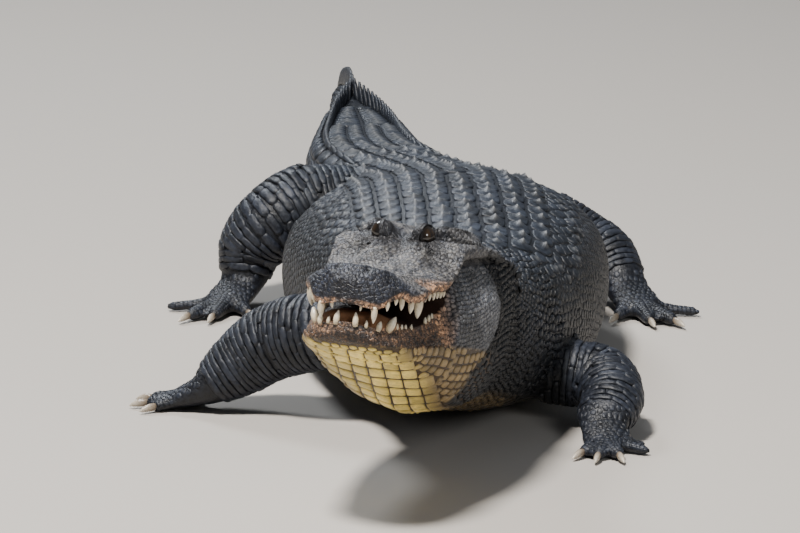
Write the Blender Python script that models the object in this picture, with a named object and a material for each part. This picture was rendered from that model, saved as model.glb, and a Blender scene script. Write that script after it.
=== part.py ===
"""American alligator, life size, about 2.9 m long, lying with its head raised and turned.

The animal faces -Y and lies on the floor at z = 0. The origin is on the floor under the middle
of the trunk, in the flat of the belly. Each part of the body is one closed solid at the outer
surface of the scales, and neighbours keep a hair's gap.
"""
import math

import bmesh
import bpy
import numpy as np
from mathutils import Matrix, Vector

# Driving dimensions, in metres and degrees
GAP = 0.0003
FLOOR = 0.0

SNOUT_TIP = Vector((-0.116, -0.935, 0.312))
HEAD_TURN = 18.5
HEAD_LIFT = 10.5
HEAD_ROLL = 2.5
HEAD_LENGTH = 0.41

NECK_END_Y = -0.42
TRUNK_END_Y = 0.57
TAIL_END_Y = 1.90
TAIL_CUTS_Y = (0.83, 1.17, 1.52)
TAIL_POINT = 0.012
WHORLS = 36
WHORL_SHRINK = 0.975
# a whorl's crest stands at this share of its height in front, and peaks this far along the whorl
WHORL_LOW = 0.30
WHORL_PEAK = 0.78

EYE_RADIUS = 0.0155
EYE_PLACE = (0.214, 0.0285, 0.0880)
EYE_LOOK = (0.82, -0.51, 0.26)
EYE_OPENING = 0.0115
# the opening between the lids widens outward between these shares of EYE_OPENING
OPENING_SHARES = (0.8, 1.3)
EAR_PLACE = (0.268, 0.0625, 0.0890)
EAR_SIZE = (0.024, 0.0048, 0.0085)
EAR_TILT = 8.0
NOSTRIL_PLACE = (0.026, 0.0180, 0.0480)
NOSTRIL_SIZE = (0.0065, 0.0085, 0.0060)

MOUTH_SEAM = 0.0007
MOUTH_SHUT_U = 0.190
NAPE_SQUARE = 2.1

# Where the rings of head, jaw, neck and trunk lie: behind the snout tip, or along Y
SHUT_US = (0.146, 0.160, 0.172, 0.180, 0.189, 0.199, 0.214, 0.236, 0.266, 0.300, 0.345, 0.380,
           HEAD_LENGTH)
UPPER_US = (0.0, 0.008, 0.020, 0.038, 0.062, 0.092, 0.125, *SHUT_US)
LOWER_US = (0.012, 0.020, 0.036, 0.066, 0.105, *SHUT_US)
NECK_YS = (-0.520, -0.490, -0.455, NECK_END_Y - GAP / 2)
TRUNK_YS = (NECK_END_Y + GAP / 2, -0.37, -0.31, -0.25, -0.19, -0.12, -0.04, 0.05, 0.14, 0.22,
            0.29, 0.35, 0.41, 0.47, 0.52, TRUNK_END_Y - GAP / 2)
TRUNK_SIDES = 24

# Body stations: y, x, turn and lean of the ring in degrees, half-width, height of the back,
# of the widest line and of the belly, and how square the ring is above and below
BODY = (
    (-0.550, 0.012, -18.5, 10.5, 0.103, 0.312, 0.205, 0.089, 2.2, 2.1),
    (-0.500, 0.022, -13.5, 8.0, 0.109, 0.291, 0.182, 0.072, 2.2, 2.1),
    (-0.420, 0.032, -4.0, 3.0, 0.126, 0.273, 0.158, 0.046, 2.2, 2.2),
    (-0.310, 0.035, 0.0, 0.0, 0.166, 0.272, 0.142, 0.014, 2.2, 2.4),
    (-0.200, 0.032, 0.0, 0.0, 0.199, 0.276, 0.132, -0.004, 2.2, 2.6),
    (-0.050, 0.027, 1.0, 0.0, 0.226, 0.277, 0.125, -0.008, 2.2, 2.6),
    (0.100, 0.021, 3.0, 0.0, 0.239, 0.268, 0.120, -0.008, 2.2, 2.6),
    (0.220, 0.014, 5.0, 0.0, 0.231, 0.250, 0.115, -0.008, 2.2, 2.6),
    (0.340, 0.003, 8.0, 0.0, 0.197, 0.229, 0.108, -0.008, 2.2, 2.6),
    (0.440, -0.010, 12.0, 0.0, 0.158, 0.214, 0.102, -0.008, 2.3, 2.6),
    (0.530, -0.034, 16.0, 0.0, 0.131, 0.204, 0.098, -0.008, 2.4, 2.5),
    (0.610, -0.064, 17.0, 0.0, 0.119, 0.197, 0.094, -0.007, 2.5, 2.4),
    (0.710, -0.090, 9.0, 0.0, 0.109, 0.188, 0.090, -0.006, 2.6, 2.4),
    (0.850, -0.101, 3.5, 0.0, 0.097, 0.173, 0.084, -0.005, 2.7, 2.3),
    (1.050, -0.107, 2.5, 0.0, 0.077, 0.150, 0.074, -0.004, 2.7, 2.2),
    (1.350, -0.125, 3.5, 0.0, 0.046, 0.122, 0.060, -0.003, 2.6, 2.2),
    (1.600, -0.138, 3.0, 0.0, 0.028, 0.088, 0.045, -0.002, 2.4, 2.2),
    (1.800, -0.148, 2.5, 0.0, 0.016, 0.052, 0.027, -0.002, 2.2, 2.2),
    (1.900, -0.152, 2.5, 0.0, 0.007, 0.024, 0.013, -0.001, 2.0, 2.0),
)

# Tail crest: y, half the space between its two rows, height of a scute, and how far the valley
# between the rows is filled
CREST = (
    (0.570, 0.074, 0.006, 0.0),
    (0.700, 0.068, 0.014, 0.0),
    (0.880, 0.061, 0.026, 0.0),
    (1.050, 0.052, 0.036, 0.0),
    (1.190, 0.038, 0.043, 0.05),
    (1.290, 0.020, 0.049, 0.30),
    (1.360, 0.005, 0.052, 0.80),
    (1.420, 0.002, 0.052, 0.92),
    (1.600, 0.0014, 0.044, 0.93),
    (1.800, 0.0012, 0.028, 0.93),
    (1.900, 0.0010, 0.008, 0.93),
)

# Upper head stations: distance behind the snout tip, half-width at the mouth line, height of the
# mouth line, widest half-width, half-width of the crown, height at the crown's edge, fall of the
# side just outside that edge, and height on the midline
UPPER_HEAD = (
    (0.000, 0.016, 0.003, 0.018, 0.011, 0.030, 0.003, 0.032),
    (0.010, 0.040, -0.001, 0.043, 0.026, 0.041, 0.004, 0.044),
    (0.022, 0.054, 0.010, 0.058, 0.035, 0.047, 0.005, 0.050),
    (0.038, 0.063, 0.0155, 0.067, 0.039, 0.049, 0.005, 0.050),
    (0.058, 0.070, 0.009, 0.074, 0.040, 0.047, 0.005, 0.048),
    (0.080, 0.077, 0.012, 0.080, 0.039, 0.043, 0.004, 0.043),
    (0.100, 0.078, 0.019, 0.082, 0.038, 0.043, 0.004, 0.043),
    (0.120, 0.079, 0.021, 0.084, 0.038, 0.046, 0.004, 0.045),
    (0.150, 0.080, 0.0215, 0.087, 0.039, 0.055, 0.005, 0.052),
    (0.174, 0.081, 0.022, 0.089, 0.041, 0.068, 0.007, 0.060),
    (0.186, 0.081, 0.034, 0.090, 0.042, 0.080, 0.010, 0.066),
    (0.200, 0.082, 0.049, 0.091, 0.043, 0.097, 0.014, 0.075),
    (0.214, 0.083, 0.057, 0.092, 0.044, 0.105, 0.016, 0.083),
    (0.235, 0.084, 0.060, 0.093, 0.048, 0.104, 0.014, 0.088),
    (0.265, 0.086, 0.061, 0.094, 0.054, 0.102, 0.012, 0.092),
    (0.300, 0.088, 0.061, 0.095, 0.058, 0.098, 0.012, 0.094),
    (0.345, 0.090, 0.057, 0.096, 0.060, 0.089, 0.012, 0.088),
    (0.380, 0.092, 0.051, 0.097, 0.057, 0.076, 0.009, 0.080),
    (0.410, 0.093, 0.045, 0.097, 0.050, 0.067, 0.007, 0.073),
)

# Lower jaw stations: distance behind the snout tip, half-width at the lip, widest half-width,
# depth of the widest line below the lip, and height of the underside on the midline
LOWER_JAW = (
    (0.012, 0.018, 0.022, 0.016, -0.044),
    (0.022, 0.036, 0.042, 0.020, -0.050),
    (0.040, 0.052, 0.061, 0.022, -0.058),
    (0.070, 0.065, 0.077, 0.024, -0.070),
    (0.110, 0.072, 0.085, 0.028, -0.086),
    (0.150, 0.075, 0.091, 0.036, -0.104),
    (0.185, 0.079, 0.098, 0.062, -0.119),
    (0.220, 0.083, 0.105, 0.072, -0.134),
    (0.260, 0.086, 0.109, 0.068, -0.148),
    (0.300, 0.088, 0.111, 0.064, -0.155),
    (0.335, 0.090, 0.110, 0.062, -0.156),
    (0.365, 0.092, 0.104, 0.060, -0.155),
    (0.410, 0.093, 0.100, 0.058, -0.150),
)

# Height of the lower lip where the mouth is open: distance behind the snout tip, and height
LOWER_LIP = (
    (0.008, -0.020), (0.012, -0.022), (0.028, -0.026), (0.042, -0.024), (0.077, -0.025),
    (0.103, -0.022), (0.128, -0.017), (0.156, -0.009), (0.173, 0.000), (0.183, 0.011),
    (0.190, 0.038),
)

# Teeth that show: distance behind the snout tip, radius and length. They stand inside the lip's
# edge and lean outward.
TOOTH_ROOT = 0.004
TOOTH_POINT = 0.0006
UPPER_INSET, UPPER_SPLAY = 0.0025, 0.12
LOWER_INSET, LOWER_SPLAY = 0.0045, 0.30
UPPER_TEETH = (
    (0.010, 0.0042, 0.018), (0.022, 0.0032, 0.012), (0.045, 0.0034, 0.014),
    (0.064, 0.0036, 0.014), (0.080, 0.0056, 0.022), (0.104, 0.0028, 0.010),
    (0.134, 0.0028, 0.010),
)
LOWER_TEETH = (
    (0.014, 0.0036, 0.014), (0.026, 0.0034, 0.010), (0.040, 0.0052, 0.018),
    (0.060, 0.0024, 0.006), (0.078, 0.0024, 0.006),
)

# Limb stations: centre x, y, z, half-thickness across and up; the third is the elbow or knee
ARM_LEFT = (
    (0.080, -0.300, 0.094, 0.048, 0.052),
    (0.164, -0.320, 0.076, 0.046, 0.047),
    (0.238, -0.343, 0.066, 0.046, 0.045),
    (0.248, -0.400, 0.052, 0.043, 0.040),
    (0.234, -0.452, 0.035, 0.037, 0.028),
)
ARM_RIGHT = (
    (-0.050, -0.310, 0.140, 0.056, 0.060),
    (-0.140, -0.300, 0.130, 0.057, 0.057),
    (-0.226, -0.262, 0.098, 0.054, 0.053),
    (-0.274, -0.254, 0.064, 0.047, 0.045),
    (-0.316, -0.254, 0.034, 0.037, 0.029),
)
LEG_LEFT = (
    (0.060, 0.435, 0.128, 0.066, 0.066),
    (0.150, 0.440, 0.118, 0.060, 0.058),
    (0.232, 0.425, 0.090, 0.050, 0.047),
    (0.272, 0.398, 0.070, 0.042, 0.040),
    (0.292, 0.362, 0.042, 0.035, 0.032),
)
LEG_RIGHT = (
    (-0.090, 0.450, 0.135, 0.064, 0.066),
    (-0.180, 0.425, 0.144, 0.063, 0.065),
    (-0.244, 0.394, 0.118, 0.054, 0.056),
    (-0.272, 0.400, 0.080, 0.047, 0.048),
    (-0.280, 0.388, 0.042, 0.038, 0.034),
)

# Steps of the stations at which a limb has rings; the whole steps are the stations
UPPER_STEPS = (0.0, 0.6, 1.2, 2.0)
LOWER_STEPS = (2.0, 2.7, 3.2, 3.6, 4.0)

# Each foot's heading in degrees from -Y, and which side of it the inner toe lies on
HEADINGS = {
    "front_foot_left": (8.0, 1),
    "front_foot_right": (-108.0, -1),
    "hind_foot_left": (22.0, 1),
    "hind_foot_right": (-26.0, -1),
}
# Toes: angle from the foot's heading in degrees, length, radius, and whether it has a claw
HAND_TOES = (
    (-46.0, 0.066, 0.0112, True),
    (-20.0, 0.074, 0.0115, True),
    (7.0, 0.074, 0.0115, True),
    (55.0, 0.066, 0.0090, False),
    (92.0, 0.056, 0.0080, False),
)
FOOT_TOES = (
    (-52.0, 0.072, 0.0120, True),
    (-8.0, 0.100, 0.0130, True),
    (13.0, 0.118, 0.0130, True),
    (60.0, 0.100, 0.0095, False),
)
# Palms: length, half-width and half-height, then the shares of these along the palm: how far,
# half-width, half-height and height of the centre
HAND_PALM = (0.050, 0.036, 0.0190)
FOOT_PALM = (0.078, 0.038, 0.0200)
PALM_SHAPE = (
    (0.34, 0.92, 1.20, 1.35), (0.62, 1.0, 1.0, 1.05), (0.88, 0.92, 0.82, 0.82),
    (1.0, 0.66, 0.55, 0.74),
)
# Toes start over the palm at this share of its length. Then shares along a toe and of its radius.
TOE_HUB = 0.55
TOE_SHAPE = ((0.0, 1.1), (0.35, 1.12), (0.62, 1.0), (0.85, 0.92), (1.0, 0.55))
CLAWED_FLESH = 0.86
CLAW_LENGTH = 0.021
CLAW_RADIUS = 0.0052
CLAW_DROOP = 0.0042
# along a claw: share of the length, share of the radius, and how far it droops
CLAW_SHAPE = ((0.0, 1.0, 0.0), (0.45, 0.72, 0.0004), (0.8, 0.36, 0.0022))

# Colours in linear light
COLOURS = {
    "hide": (0.030, 0.034, 0.042, 1.0, 0.55),
    "throat": (0.42, 0.31, 0.11, 1.0, 0.50),
    "horn": (0.46, 0.40, 0.26, 1.0, 0.40),
    "eye": (0.020, 0.014, 0.008, 1.0, 0.08),
}

solids = bpy.data.collections.new("american_alligator")
cutters = bpy.data.collections.new("cutters")


def clear_scene():
    for obj in list(bpy.data.objects):
        bpy.data.objects.remove(obj, do_unlink=True)
    bpy.context.scene.collection.children.link(solids)
    bpy.context.scene.collection.children.link(cutters)


def material(name):
    """The Principled material of one surface, made once."""
    found = bpy.data.materials.get(name)
    if found:
        return found
    red, green, blue, alpha, roughness = COLOURS[name]
    made = bpy.data.materials.new(name)
    made.use_nodes = True
    shader = made.node_tree.nodes["Principled BSDF"]
    shader.inputs["Base Color"].default_value = (red, green, blue, alpha)
    shader.inputs["Roughness"].default_value = roughness
    shader.inputs["Metallic"].default_value = 0.0
    return made


def through(table, at):
    """Values of a table of stations at one place, smooth and without overshoot."""
    rows = np.array(table, dtype=float)
    keys, values = rows[:, 0], rows[:, 1:]
    steps = np.diff(keys)[:, None]
    slopes = np.diff(values, axis=0) / steps
    tangents = np.zeros_like(values)
    tangents[0], tangents[-1] = slopes[0], slopes[-1]
    before, after = slopes[:-1], slopes[1:]
    same_way = before * after > 0
    total = np.where(same_way, before + after, 1.0)
    tangents[1:-1] = np.where(same_way, 2 * before * after / total, 0.0)
    at = min(max(at, keys[0]), keys[-1])
    i = min(int(np.searchsorted(keys, at, side="right")) - 1, len(keys) - 2)
    step = steps[i, 0]
    t = (at - keys[i]) / step
    return (values[i] * (1 + 2 * t) * (1 - t) ** 2 + values[i + 1] * t * t * (3 - 2 * t)
            + step * (tangents[i] * t * (1 - t) ** 2 + tangents[i + 1] * t * t * (t - 1)))


def curve_between(points, count):
    """Points of a smooth curve through a few given ones, evenly spread, ends kept."""
    keyed = [(float(i), *point) for i, point in enumerate(points)]
    last = len(points) - 1
    return [through(keyed, last * k / (count - 1)) for k in range(count)]


def new_object(name, mesh, colour, collection=solids):
    obj = bpy.data.objects.new(name, mesh)
    collection.objects.link(obj)
    mesh.materials.append(material(colour))
    mesh.shade_smooth()
    mesh.set_sharp_from_angle(angle=math.radians(40))
    if collection is cutters:
        obj.hide_render = True
        obj.display_type = "WIRE"
    return obj


def loft(name, rings, colour, collection=solids, point=None):
    """A closed solid through rings of equal count; its end is flat, or comes to a point."""
    count = len(rings[0])
    bm = bmesh.new()
    rows = [[bm.verts.new(p) for p in ring] for ring in rings]
    for row, nxt in zip(rows, rows[1:]):
        for k in range(count):
            m = (k + 1) % count
            bm.faces.new((row[k], row[m], nxt[m]))
            bm.faces.new((row[k], nxt[m], nxt[k]))
    bm.faces.new(list(reversed(rows[0])))
    if point is None:
        bm.faces.new(rows[-1])
    else:
        tip = bm.verts.new(point)
        for k in range(count):
            bm.faces.new((rows[-1][k], rows[-1][(k + 1) % count], tip))
    bmesh.ops.recalc_face_normals(bm, faces=bm.faces)
    mesh = bpy.data.meshes.new(name)
    bm.to_mesh(mesh)
    bm.free()
    return new_object(name, mesh, colour, collection)


def boolean(obj, other, operation):
    modifier = obj.modifiers.new(f"{operation.lower()} {other.name}", "BOOLEAN")
    modifier.operation = operation
    modifier.solver = "EXACT"
    modifier.object = other
    return modifier


def head_place(u, x, z):
    """A place in the head's own frame (behind the tip, to the animal's left, up) in the part's."""
    turn = Matrix.Rotation(math.radians(-HEAD_TURN), 4, "Z")
    lift = Matrix.Rotation(math.radians(-HEAD_LIFT), 4, "X")
    roll = Matrix.Rotation(math.radians(HEAD_ROLL), 4, "Y")
    return SNOUT_TIP + turn @ lift @ roll @ Vector((x, u, z))


def head_matrix(u, x, z):
    turn = Matrix.Rotation(math.radians(-HEAD_TURN), 4, "Z")
    lift = Matrix.Rotation(math.radians(-HEAD_LIFT), 4, "X")
    roll = Matrix.Rotation(math.radians(HEAD_ROLL), 4, "Y")
    return Matrix.Translation(head_place(u, x, z)) @ turn @ lift @ roll


def body_ring(y, count=20, grow=0.0):
    """A ring of the trunk and neck at y, as a square-shouldered oval with a flat underside."""
    x, turn, lean, width, back, wide, belly, square_up, square_down = through(BODY, y)
    side = Vector((math.cos(math.radians(turn)), math.sin(math.radians(turn)), 0.0))
    along = Vector((-side.y, side.x, 0.0))
    up = Vector((0, 0, 1)) * math.cos(math.radians(lean)) + along * math.sin(math.radians(lean))
    centre = Vector((x, y, wide))
    ring = []
    for k in range(count):
        angle = 2 * math.pi * k / count
        c, s = math.cos(angle), math.sin(angle)
        square = square_up if s > 0 else square_down
        reach = (back - wide) if s > 0 else (wide - belly)
        across = math.copysign(abs(c) ** (2 / square), c) * (width + grow)
        rise = math.copysign(abs(s) ** (2 / square), s) * (reach + grow)
        place = centre + side * across + up * rise
        place.z = max(place.z, FLOOR - grow)
        ring.append(place)
    return ring


def nape_ring(count=20):
    """The front ring of the neck, in the head's frame, just behind the head's rear face."""
    mid_z = UPPER_HEAD[-1][-1]
    width, under = LOWER_JAW[-1][2], LOWER_JAW[-1][-1]
    wide_z = lower_lip(HEAD_LENGTH) - LOWER_JAW[-1][3]
    ring = []
    for k in range(count):
        angle = 2 * math.pi * k / count
        c, s = math.cos(angle), math.sin(angle)
        reach = (mid_z - wide_z) if s > 0 else (wide_z - under)
        across = math.copysign(abs(c) ** (2 / NAPE_SQUARE), c) * width
        rise = math.copysign(abs(s) ** (2 / NAPE_SQUARE), s) * reach
        ring.append(head_place(HEAD_LENGTH + GAP, across, float(wide_z) + rise))
    return ring


def whorl_places():
    """The y of the front edge of each whorl of the tail, shorter and shorter to the tip."""
    lengths = [WHORL_SHRINK ** k for k in range(WHORLS)]
    scale = (TAIL_END_Y - TRUNK_END_Y) / sum(lengths)
    places = [TRUNK_END_Y]
    for length in lengths:
        places.append(places[-1] + length * scale)
    return places


def tail_ring(y, tooth, grow=0.0):
    """A ring of the tail at y, with its two crest rows raised by a share of their height."""
    x, turn, lean, width, back, wide, belly, square_up, square_down = through(BODY, y)
    space, height, fill = through(CREST, y)
    side = Vector((math.cos(math.radians(turn)), math.sin(math.radians(turn)), 0.0))
    foot = min(0.013, 0.42 * width)
    tall = height * tooth
    valley = back + fill * tall
    outer = min(space + foot, 0.92 * width)
    half = (
        (0.62 * width, belly),
        (0.92 * width, belly + 0.28 * (wide - belly)),
        (width, wide),
        (0.5 * (width + outer) + 0.12 * (width - outer), wide + 0.62 * (back - wide)),
        (outer, back - 0.10 * (back - wide)),
        (space, back + tall),
        (max(space - foot, 0.5 * space), valley - 0.0006),
    )
    outline = [(0.0, belly), *half, (0.0, valley - 0.0012)]
    outline += [(-across, rise) for across, rise in reversed(half)]
    ring = []
    for across, rise in outline:
        place = Vector((x, y, 0.0)) + side * (across + math.copysign(grow, across))
        place.z = max(rise + (grow if rise > wide else 0.0), FLOOR - grow)
        ring.append(place)
    return ring


def upper_head_ring(u):
    """A ring of the skull and upper jaw, flat below along the mouth line."""
    lip_w, lip_z, width, crown_w, edge_z, fall, mid_z = through(UPPER_HEAD, u)
    half = curve_between((
        (0.0, mid_z),
        (0.55 * crown_w, mid_z + 0.65 * (edge_z - mid_z)),
        (crown_w, edge_z),
        (crown_w + 0.22 * (width - crown_w), edge_z - fall),
        (width, lip_z + 0.36 * (edge_z - lip_z)),
        (lip_w, lip_z),
    ), 11)
    outline = [(float(x), float(z)) for x, z in half]
    outline += [(-x, z) for x, z in reversed(outline[1:])]
    outline.insert(11, (0.0, lip_z))
    return [head_place(u, x, z) for x, z in outline]


def lower_lip(u):
    """Height of the lower lip, just under the upper one where the mouth is shut."""
    shut = through(UPPER_HEAD, u)[1] - MOUTH_SEAM
    return min(through(LOWER_LIP, u)[0], shut) if u < MOUTH_SHUT_U else shut


def lower_jaw_ring(u):
    """A ring of the lower jaw, flat above along the mouth line, with the jowl and the throat."""
    lip_w, width, drop, under = through(LOWER_JAW, u)
    lip = float(lower_lip(u))
    half = curve_between((
        (lip_w, lip),
        (width, lip - drop),
        (0.92 * width, lip - drop - 0.50 * (lip - drop - under)),
        (0.58 * width, under + 0.12 * (lip - drop - under)),
        (0.0, under),
    ), 9)
    outline = [(float(x), float(z)) for x, z in half]
    outline += [(-x, z) for x, z in reversed(outline[:-1])]
    outline.append((0.0, lip))
    return [head_place(u, x, z) for x, z in outline]


def tooth(place, way, radius, length):
    """One tooth as a cone with its root inside the jaw."""
    bm = bmesh.new()
    bmesh.ops.create_cone(bm, cap_ends=True, segments=5, radius1=radius, radius2=TOOTH_POINT,
                          depth=length + TOOTH_ROOT)
    aim = way.to_track_quat("Z", "Y").to_matrix().to_4x4()
    middle = place + way * (length - TOOTH_ROOT) / 2
    bm.transform(Matrix.Translation(middle) @ aim)
    return bm


def teeth(name, table, inset, height, splay, sign):
    """A row of teeth on both sides of a jaw, as one cutter to be joined to it."""
    joined = bmesh.new()
    for u, radius, length in table:
        for side in (-1, 1):
            across = side * (through(UPPER_HEAD if sign < 0 else LOWER_JAW, u)[0] - inset)
            base = head_place(u, across, height(u))
            aim = head_place(u - 0.15 * splay, across + side * splay, height(u) + sign) - base
            piece = tooth(base, aim.normalized(), radius, length)
            mesh = bpy.data.meshes.new("tooth")
            piece.to_mesh(mesh)
            piece.free()
            joined.from_mesh(mesh)
            bpy.data.meshes.remove(mesh)
    mesh = bpy.data.meshes.new(name)
    joined.to_mesh(mesh)
    joined.free()
    return new_object(name, mesh, "horn", cutters)


def ball(name, size, colour, placing, collection=solids, grow=0.0, segments=12):
    """An ellipsoid of three half-axes, set by a matrix."""
    bm = bmesh.new()
    bmesh.ops.create_uvsphere(bm, u_segments=segments, v_segments=segments // 2 + 1, radius=1.0)
    scale = Matrix.Diagonal((size[0] + grow, size[1] + grow, size[2] + grow, 1.0))
    bm.transform(placing @ scale)
    mesh = bpy.data.meshes.new(name)
    bm.to_mesh(mesh)
    bm.free()
    return new_object(name, mesh, colour, collection)


def eye_opening(word, placing, side):
    """A widening round opening from the eye out through the lids, the way the eye looks."""
    look = Vector((side * EYE_LOOK[0], EYE_LOOK[1], EYE_LOOK[2]))
    aim = look.to_track_quat("Z", "Y").to_matrix().to_4x4()
    narrow, wide = (share * EYE_OPENING for share in OPENING_SHARES)
    bm = bmesh.new()
    bmesh.ops.create_cone(bm, cap_ends=True, segments=8, radius1=narrow, radius2=wide,
                          depth=2 * EYE_RADIUS)
    bm.transform(placing @ aim @ Matrix.Translation((0, 0, EYE_RADIUS)))
    mesh = bpy.data.meshes.new("eye_opening")
    bm.to_mesh(mesh)
    bm.free()
    return new_object(f"eye_opening_{word}", mesh, "hide", cutters)


def head_and_jaw():
    skull = loft("head", [upper_head_ring(u) for u in UPPER_US], "hide")
    jaw = loft("lower_jaw", [lower_jaw_ring(u) for u in LOWER_US], "throat")
    upper = teeth("upper_teeth", UPPER_TEETH, UPPER_INSET, lambda u: through(UPPER_HEAD, u)[1],
                  UPPER_SPLAY, -1)
    boolean(skull, upper, "UNION")
    lower = teeth("lower_teeth", LOWER_TEETH, LOWER_INSET, lower_lip, LOWER_SPLAY, 1)
    boolean(jaw, lower, "UNION")
    for side, word in ((1, "left"), (-1, "right")):
        placing = head_matrix(EYE_PLACE[0], side * EYE_PLACE[1], EYE_PLACE[2])
        size = (EYE_RADIUS, EYE_RADIUS, EYE_RADIUS)
        ball(f"eye_{word}", size, "eye", placing)
        socket = ball(f"eye_socket_{word}", size, "eye", placing, cutters, GAP)
        boolean(skull, socket, "DIFFERENCE")
        boolean(skull, eye_opening(word, placing, side), "DIFFERENCE")
        tilt = Matrix.Rotation(math.radians(EAR_TILT), 4, "X")
        placing = head_matrix(EAR_PLACE[0], side * EAR_PLACE[1], EAR_PLACE[2]) @ tilt
        size = (EAR_SIZE[1], EAR_SIZE[0], EAR_SIZE[2])
        ball(f"ear_{word}", size, "hide", placing, segments=8)
        slot = ball(f"ear_slot_{word}", size, "hide", placing, cutters, GAP, 8)
        boolean(skull, slot, "DIFFERENCE")
        placing = head_matrix(NOSTRIL_PLACE[0], side * NOSTRIL_PLACE[1], NOSTRIL_PLACE[2])
        pit = ball(f"nostril_{word}", NOSTRIL_SIZE, "hide", placing, cutters, segments=8)
        boolean(skull, pit, "DIFFERENCE")


def trunk_and_neck():
    """The neck and the trunk, and a cutter a gap larger than the trunk."""
    loft("neck", [nape_ring(), *(body_ring(y) for y in NECK_YS)], "hide")
    loft("trunk", [body_ring(y, TRUNK_SIDES) for y in TRUNK_YS], "hide")
    room = [body_ring(y, TRUNK_SIDES, GAP) for y in TRUNK_YS]
    return loft("trunk_room", room, "hide", cutters)


def tail():
    """Four lengths of the tail; each whorl is low in front and ends in a raised scute."""
    edges = whorl_places()
    lengths = {name: [] for name in ("tail_base", "tail_middle", "tail_rear", "tail_tip")}
    bounds = (TRUNK_END_Y, *TAIL_CUTS_Y, TAIL_END_Y + 1.0)
    for name, low, high in zip(lengths, bounds, bounds[1:]):
        whorls = [(a, b) for a, b in zip(edges, edges[1:]) if low <= a + 1e-6 < high]
        rings = []
        for start, end in whorls:
            first = start + (GAP / 2 if start == whorls[0][0] else 0.0)
            rings.append(tail_ring(first, WHORL_LOW))
            rings.append(tail_ring(start + WHORL_PEAK * (end - start), 1.0))
        last = whorls[-1][1]
        if name == "tail_tip":
            x, turn, lean, width, back, wide = through(BODY, last)[:6]
            loft(name, rings, "hide", point=(x, last + TAIL_POINT, wide))
        else:
            rings.append(tail_ring(last - GAP / 2, WHORL_LOW))
            loft(name, rings, "hide")


def limb_ring(stations, step, count=10):
    """A ring across a limb at a step of its stations, and the way the limb runs there."""
    keyed = [(float(i), *row) for i, row in enumerate(stations)]
    here = through(keyed, step)
    ahead = Vector(through(keyed, step + 0.02)[:3])
    behind = Vector(through(keyed, step - 0.02)[:3])
    along = (ahead - behind).normalized()
    across = along.cross(Vector((0, 0, 1))).normalized()
    up = across.cross(along)
    centre = Vector(here[:3])
    angles = [2 * math.pi * k / count for k in range(count)]
    ring = [centre + across * math.cos(a) * here[3] + up * math.sin(a) * here[4]
            for a in angles]
    return ring, along


def floor_cutter():
    """A block whose top is the floor, to cut the soles flat."""
    bm = bmesh.new()
    bmesh.ops.create_cube(bm, size=1.0)
    bm.transform(Matrix.Translation((0, 0.45, -0.05)) @ Matrix.Diagonal((1.4, 3.2, 0.1, 1.0)))
    mesh = bpy.data.meshes.new("floor_block")
    bm.to_mesh(mesh)
    bm.free()
    return new_object("floor_block", mesh, "hide", cutters)


def flat_ring(centre, across, width, high, count):
    """An upright oval ring across a level direction."""
    angles = [2 * math.pi * k / count for k in range(count)]
    return [centre + across * math.cos(a) * width + Vector((0, 0, math.sin(a) * high))
            for a in angles]


def foot(name, stations, palm, toes, floor_block):
    """A palm with its toes, cut flat on the floor, and a claw on each of the inner toes."""
    heading, mirror = HEADINGS[name]
    palm_length, palm_width, palm_height = palm
    course = math.radians(heading)
    ahead = Vector((math.sin(course), -math.cos(course), 0.0))
    across = Vector((ahead.y, -ahead.x, 0.0))
    start = Vector(stations[-1][:3])
    wrist, along = limb_ring(stations, len(stations) - 1)
    rings = [[point + along * GAP for point in wrist]]
    for share, width, high, rise in PALM_SHAPE:
        centre = Vector((start.x, start.y, rise * palm_height)) + ahead * share * palm_length
        rings.append(flat_ring(centre, across, width * palm_width, high * palm_height, 10))
    body = loft(name, rings, "hide")
    hub = start + ahead * TOE_HUB * palm_length
    for number, (angle, length, radius, clawed) in enumerate(toes, 1):
        way = math.radians(heading + angle * mirror)
        out = Vector((math.sin(way), -math.cos(way), 0.0))
        aside = Vector((out.y, -out.x, 0.0))
        end = CLAWED_FLESH if clawed else 1.0
        toe_rings = []
        for share, thick in TOE_SHAPE:
            reach = share * length * end
            high = radius * (1.5 - 0.75 * share)
            centre = Vector((hub.x, hub.y, high)) + out * reach
            toe_rings.append(flat_ring(centre, aside, radius * thick, radius * thick, 8))
        toe = loft(f"{name}_toe_{number}", toe_rings, "hide", cutters)
        boolean(body, toe, "UNION")
        if clawed:
            claw_start = Vector((hub.x, hub.y, radius * 0.75)) + out * (length * end + GAP)
            claw_rings = []
            for share, thick, drop in CLAW_SHAPE:
                centre = claw_start + out * share * CLAW_LENGTH - Vector((0, 0, drop))
                thickness = CLAW_RADIUS * thick
                claw_rings.append(flat_ring(centre, aside, 0.8 * thickness, thickness, 8))
            tip = claw_start + out * CLAW_LENGTH - Vector((0, 0, CLAW_DROOP))
            loft(f"{name}_claw_{number}", claw_rings, "horn", point=tip)
    boolean(body, floor_block, "DIFFERENCE")


def limb(word, names, stations, trunk_room):
    """Upper and lower length of a limb; its root is cut to the trunk's side."""
    upper = [limb_ring(stations, step)[0] for step in UPPER_STEPS]
    lower = [limb_ring(stations, step)[0] for step in LOWER_STEPS]
    gap = limb_ring(stations, UPPER_STEPS[-1])[1] * GAP
    upper[-1] = [point - gap for point in upper[-1]]
    root = loft(f"{names[0]}_{word}", upper, "hide")
    boolean(root, trunk_room, "DIFFERENCE")
    loft(f"{names[1]}_{word}", lower, "hide")


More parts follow.
